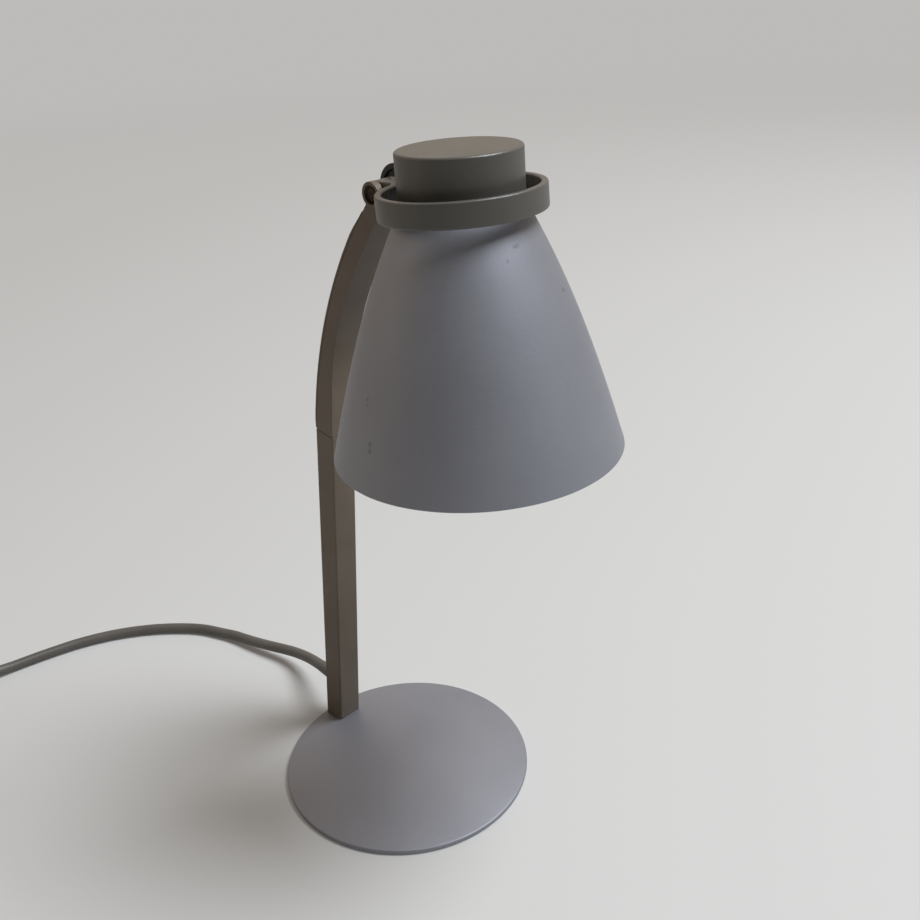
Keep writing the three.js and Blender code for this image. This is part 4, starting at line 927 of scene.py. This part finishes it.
plugShells = plugBody(**plugValues), plugSleeve(**sleeveValues)
makePiece("plugBody", "plug_body", "dark_plastic", *plugShells, sharp=45)
makePiece("plugPin1", "plug_pin_1", "steel", plugPin(1, **pinValues))
makePiece("plugPin2", "plug_pin_2", "steel", plugPin(-1, **pinValues))
makePiece("coilTie", "cord_tie", "dark_plastic", coilTie(**tieValues))
print("plug and tie made")


# CAD nodes that keep their own shape get their finish here

kept = {"base_weight": "cast_iron", "foot_plug": "taupe_plastic", "foot_washer": "steel",
        "arm_joint_screw": "steel", "hinge_washer": "steel", "arm_lead": "lead_rubber"}
for name, finish in kept.items():
    nodes[name].data.materials.clear()
    nodes[name].data.materials.append(finishes[finish]["surface"])


# Stage: a plain pale floor, a large soft lamp at the right, a weak warm one at the left, a surround

horizon = "#bdbbb9"
floorValues = dict(
    colour="#d4d3d1", size=80, drop=0.2, near=0.25, far=2.5, lift=(0.07, 0.2), fade=(0.7, 3.5))
surroundValues = dict(
    colour="#f8e6d2", paleWay=(0.62, 0.78, 0.1), low=-0.7, high=0.9, light=(0.04, 0.28),
    mirrored=(0.06, 0.6))
lamps = dict(
    key=dict(way=(0.31, -0.39, 0.86), far=3.0, wide=1.4, tall=1.8, power=94.0, colour=(0.91, 0.955, 1.0)),
    fill=dict(way=(-0.75, 0.6, 0.35), far=2.5, wide=2.5, tall=2.5, power=3.4, colour=(1.0, 0.8, 0.6)))
eased = dict(interpolation_type="SMOOTHSTEP")


# The floor is matt. To the camera it also glows a little, more so farther out, and far beyond the
# lamps' reach it fades into the horizon's plain tone.
def makeFloor(colour, size, drop, near, far, lift, fade):
    mesh = bpy.data.meshes.new("floor")
    half, low = size / 2, -drop * mm
    corners = [(x * half, y * half, low) for x, y in ((-1, -1), (1, -1), (1, 1), (-1, 1))]
    mesh.from_pydata(corners, [], [(0, 1, 2, 3)])
    floor = addObject("floor", mesh)
    surface = bpy.data.materials.new("matt table top")
    surface.use_nodes = True
    tree = surface.node_tree
    tree.nodes.clear()
    seen = addNode(tree, "LightPath")["Is Camera Ray"]
    place = addNode(tree, "TexCoord")["Object"]
    distance = addNode(tree, "VectorMath", {0: place}, operation="LENGTH")["Value"]
    glow = addNode(tree, "MapRange", {0: distance, 1: near, 2: far, 3: lift[0], 4: lift[1]}, **eased)[0]
    strength = addNode(tree, "Math", {0: seen, 1: glow}, operation="MULTIPLY")[0]
    shader = addNode(tree, "BsdfPrincipled", {
        "Base Color": linearColour(colour), "Roughness": 0.7,
        "Emission Color": (1.0, 1.0, 1.0, 1.0), "Emission Strength": strength})
    away = addNode(tree, "MapRange", {0: distance, 1: fade[0], 2: fade[1]}, **eased)[0]
    share = addNode(tree, "Math", {0: seen, 1: away}, operation="MULTIPLY")[0]
    plain = addNode(tree, "Emission", {"Color": linearColour(horizon)})[0]
    blend = addNode(tree, "MixShader", {0: share, 1: shader["BSDF"], 2: plain})[0]
    addNode(tree, "OutputMaterial", {"Surface": blend})
    mesh.materials.append(surface)


# The surround grows paler towards the far side, by a smooth step of the direction's share that way.
# Mirrors see it brighter than it lights, and the camera sees the horizon.
def makeSurround(colour, paleWay, low, high, light, mirrored):
    world = bpy.data.worlds.new("surround")
    world.use_nodes = True
    tree = world.node_tree
    tree.nodes.clear()
    path = addNode(tree, "LightPath")
    way = addNode(tree, "TexCoord")["Generated"]
    share = addNode(tree, "VectorMath", {0: way, 1: paleWay}, operation="DOT_PRODUCT")["Value"]
    lit, mirror = (addNode(tree, "MapRange", {0: share, 1: low, 2: high, 3: dim, 4: pale}, **eased)[0]
                   for dim, pale in (light, mirrored))
    glossy = addNode(tree, "MapRange", {0: path["Is Glossy Ray"], 3: lit, 4: mirror})[0]
    seen = path["Is Camera Ray"]
    strength = addNode(tree, "MapRange", {0: seen, 3: glossy, 4: 1.0})[0]
    blend = addNode(tree, "Mix", {
        0: seen, 6: linearColour(colour), 7: linearColour(horizon)}, data_type="RGBA")[2]
    glow = addNode(tree, "Background", {"Color": blend, "Strength": strength})[0]
    addNode(tree, "OutputWorld", {"Surface": glow})
    bpy.context.scene.world = world


def makeLamp(name, way, far, wide, tall, power, colour):
    data = bpy.data.lights.new(name, "AREA")
    data.shape, data.size, data.size_y = "ELLIPSE", wide, tall
    data.energy, data.color = power, colour
    lamp = addObject(name, data)
    way = Vector(way).normalized()
    lamp.location = way * far + Vector((0, 0, 0.2))
    lamp.rotation_euler = way.to_track_quat("Z", "Y").to_euler()


makeFloor(**floorValues)
makeSurround(**surroundValues)
for name, lamp in lamps.items():
    makeLamp(name, **lamp)
bpy.context.scene.view_settings.view_transform = "Standard"
print("stage made")

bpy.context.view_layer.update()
